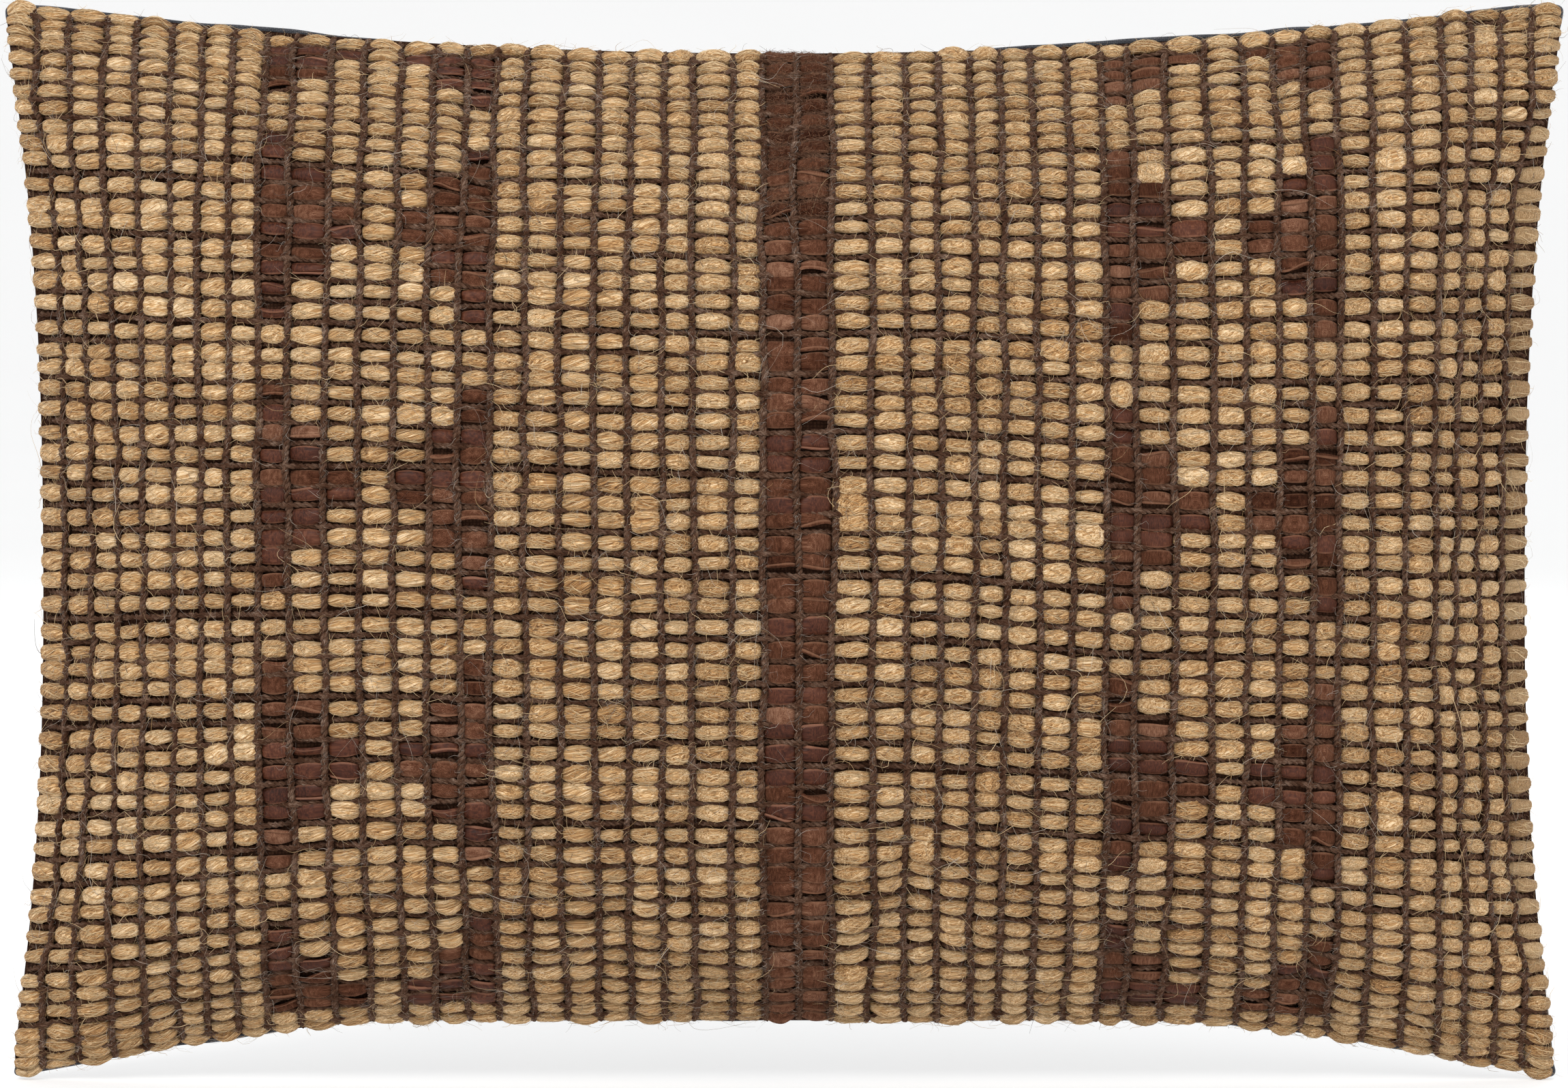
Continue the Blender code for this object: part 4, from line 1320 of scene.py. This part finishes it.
def make_closing(front):
    """Whip stitches that close the insert's bottom edge."""
    edge = front[:, -1]
    far = np.linspace(-WHIP_HALF, WHIP_HALF, 1200)
    line = read_along(far, edge[:, 0], edge)
    spin = 2 * np.pi * far / WHIP_PITCH
    line[:, 1] += WHIP_RADIUS * np.cos(spin)
    line[:, 2] += WHIP_RADIUS * np.sin(spin) - 0.0004
    side = np.broadcast_to([0.0, 1.0, 0.0], line.shape)
    rings, _ = strand_rings(line, side, np.broadcast_to([0.0, 0.0, 1.0], line.shape), spin,
                            np.full(len(far), WHIP_THREAD), 0.0, 6, far)
    strand_piece("insert_whip_stitches", THREAD, "thread", rings, "insert_closing_thread")


# ------------------------------------------------------------------ the zip
def make_zip():
    """Coils as real helices, soft-edged stops, slider and pull, and woven tapes."""
    for name, side in (("zip_coil_front", -1), ("zip_coil_back", 1)):
        low, high = (np.array(v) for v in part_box(name))
        middle = (low + high) / 2
        far = np.arange(low[0], high[0], COIL_PITCH / COIL_STEPS)
        spin = 2 * np.pi * far / COIL_PITCH + (np.pi / 2 if side > 0 else 0)
        reach = (high[1] - low[1]) / 2 + 0.0001
        line = np.stack([far, middle[1] + reach * np.cos(spin),
                         middle[2] + 0.8 * reach * np.sin(spin)], axis=-1)
        radial = line - np.stack([far, far * 0 + middle[1], far * 0 + middle[2]], axis=-1)
        rings, _ = strand_rings(line, unit(radial), np.broadcast_to([1.0, 0, 0], line.shape),
                                spin, np.full(len(far), COIL_WIRE), 0.0, 6, far)
        tubes = Tubes()
        tubes.add(rings[None])
        finish_piece(tubes.build(name + "_helix", COIL), "zip_coil", name)
    make_tape("zip_tape_front", FRONT)
    make_tape("zip_tape_back", BACK)
    for name, body in (("zip_stop_open_end", "cover"), ("zip_stop_closed_end", "cover"),
                       ("zip_slider", "slider"), ("zip_pull", "pull")):
        rounded_copy(name, METAL_ROUNDING, body)


def make_tape(name, sheet):
    """A woven tape, flat from the coil to the cover's cloth and then sewn up along it."""
    low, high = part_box(name)
    level, thick = low[2], high[2] - low[2]
    inner = min(low[1], high[1], key=abs)
    columns = np.linspace(COLUMN_FIRST, COLUMN_LAST, 8 * COLUMNS + 1)[:, None]
    place, _, out, _, _ = sheet.at(columns, np.linspace(ROWS, ROWS - 5, 60)[None, :])
    lining = place - out * (CLOTH_THICK + thick + GAP)
    chosen = (place[:, 0, 0] > low[0]) & (place[:, 0, 0] < high[0])
    climb = np.linspace(0, TAPE_CLIMB, 10)
    flat = np.linspace(0, 1, 8)[:-1]
    sections = []
    for line in lining[chosen]:
        order = np.argsort(line[:, 2])
        up = np.interp(level + climb, line[order, 2], line[order, 1])
        across = np.concatenate([inner + (up[0] - inner) * flat, up])
        height = np.concatenate([level + 0 * flat, level + climb])
        sections.append(np.stack([line[0, 0] + 0 * across, across, height], axis=-1))
    outer = np.stack(sections)
    turned = unit(np.cross(np.gradient(outer, axis=1), [1.0, 0.0, 0.0]))
    turned *= np.sign(turned[:, :1, 2:])
    far = np.cumsum(np.linalg.norm(np.diff(outer, axis=1, prepend=outer[:, :1]), axis=-1), axis=1)
    cloth = np.stack([outer[..., 0], far, 0 * far], axis=-1)
    piece = slab(name + "_woven", outer, outer + turned * thick, sheet is FRONT, TAPE, cloth=cloth)
    finish_piece(piece, "zip_tape", name)


def rounded_copy(name, width, body):
    """A CAD part again, with its edges rounded off."""
    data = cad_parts[name].data.copy()
    data.materials.clear()
    data.materials.append(METAL)
    piece = linked(name + "_plated", data)
    shape = bmesh.new()
    shape.from_mesh(data)
    bmesh.ops.remove_doubles(shape, verts=shape.verts, dist=1e-6)
    bmesh.ops.dissolve_limit(shape, angle_limit=0.02, verts=shape.verts, edges=shape.edges)
    edges = [e for e in shape.edges if len(e.link_faces) == 2 and e.calc_face_angle() > 0.5]
    bmesh.ops.bevel(shape, geom=edges, offset=width, segments=3, affect="EDGES", profile=0.5,
                    clamp_overlap=True)
    shape.to_mesh(data)
    shape.free()
    data.shade_smooth()
    data.set_sharp_from_angle(angle=0.7)
    finish_piece(piece, "zip_metal", name, body=body)


# ------------------------------------------------------------------ camera, light and floor
def aimed(name, data, place, target):
    """A camera or a lamp that stands at place and faces target."""
    made = linked(name, data)
    made.location = place
    aim = Vector(target) - made.location
    made.rotation_euler = aim.to_track_quat("-Z", "Y").to_euler()
    return made


def make_studio():
    """The camera at the front view's angle, three soft lamps and an even sky."""
    low, high = (np.array(v) for v in cad_box)
    centre = (low + high) / 2
    data = bpy.data.cameras.new("camera")
    data.lens = LENS
    data.sensor_width = SENSOR
    view_width = (high[0] - low[0]) * VIEW_MARGIN
    distance = view_width * data.lens / data.sensor_width
    data.clip_end = 30
    place = (centre[0], centre[1] - distance * math.cos(CAMERA_TILT),
             centre[2] + distance * math.sin(CAMERA_TILT))
    bpy.context.scene.camera = aimed("camera", data, place, centre)
    for name, place, size, power in LAMPS:
        lamp = bpy.data.lights.new(name, "AREA")
        lamp.shape = "DISK"
        lamp.size = size
        lamp.energy = power
        aimed(name, lamp, place, centre)
    world = bpy.data.worlds.new("studio")
    world.use_nodes = True
    world.node_tree.nodes["Background"].inputs["Color"].default_value = (0.93, 0.94, 0.95, 1)
    world.node_tree.nodes["Background"].inputs["Strength"].default_value = 0.75
    bpy.context.scene.world = world
    bpy.context.scene.view_settings.view_transform = "Standard"
    make_floor(low[2])


def make_floor(height):
    """A pale floor that curves up into a wall all round, past every view's camera."""
    flat, bend, wall = 5.0, 3.0, 4.0
    level = np.linspace(0, flat, 14)[1:]
    turn = np.linspace(0, np.pi / 2, 14)[1:]
    radius = np.concatenate([level, flat + bend * np.sin(turn), [flat + bend]])
    rise = np.concatenate([level * 0, bend * (1 - np.cos(turn)), [bend + wall]])
    spokes = 64
    around = np.linspace(0, 2 * np.pi, spokes, endpoint=False)
    points = np.stack([radius[:, None] * np.cos(around), radius[:, None] * np.sin(around),
                       height + rise[:, None] + 0 * around], axis=-1).reshape(-1, 3)
    ids = np.arange(len(radius) * spokes).reshape(len(radius), spokes)
    turned = np.roll(ids, -1, axis=1)
    quads = np.stack([ids[:-1], ids[1:], turned[1:], turned[:-1]], axis=-1).reshape(-1, 4)
    middle = np.full(spokes, len(radius) * spokes)
    tris = np.stack([middle, ids[0], turned[0]], axis=-1)
    points = np.concatenate([points, [[0, 0, height]]])
    made, tree, shader = start_material("studio_floor", 0.9)
    place = node(tree, "TexCoord").outputs["Object"]
    colour = ramp(tree, noise(tree, place, 3.0), (0.3, (0.495, 0.498, 0.50)),
                  (0.7, (0.505, 0.508, 0.51)))
    tree.links.new(colour, shader.inputs["Base Color"])
    shader.inputs["Emission Color"].default_value = (0.98, 0.975, 0.97, 1)
    shader.inputs["Emission Strength"].default_value = FLOOR_GLOW
    mesh_object("floor", points, quads, tris, materials=(made,))


make_studio()
make_cover()
make_jute()
make_cords()
make_ground_weft()
make_leather()
make_fuzz()
make_surface_fibres()
make_stray_hairs()
make_cord_fuzz()
make_seam()
make_insert()
make_zip()
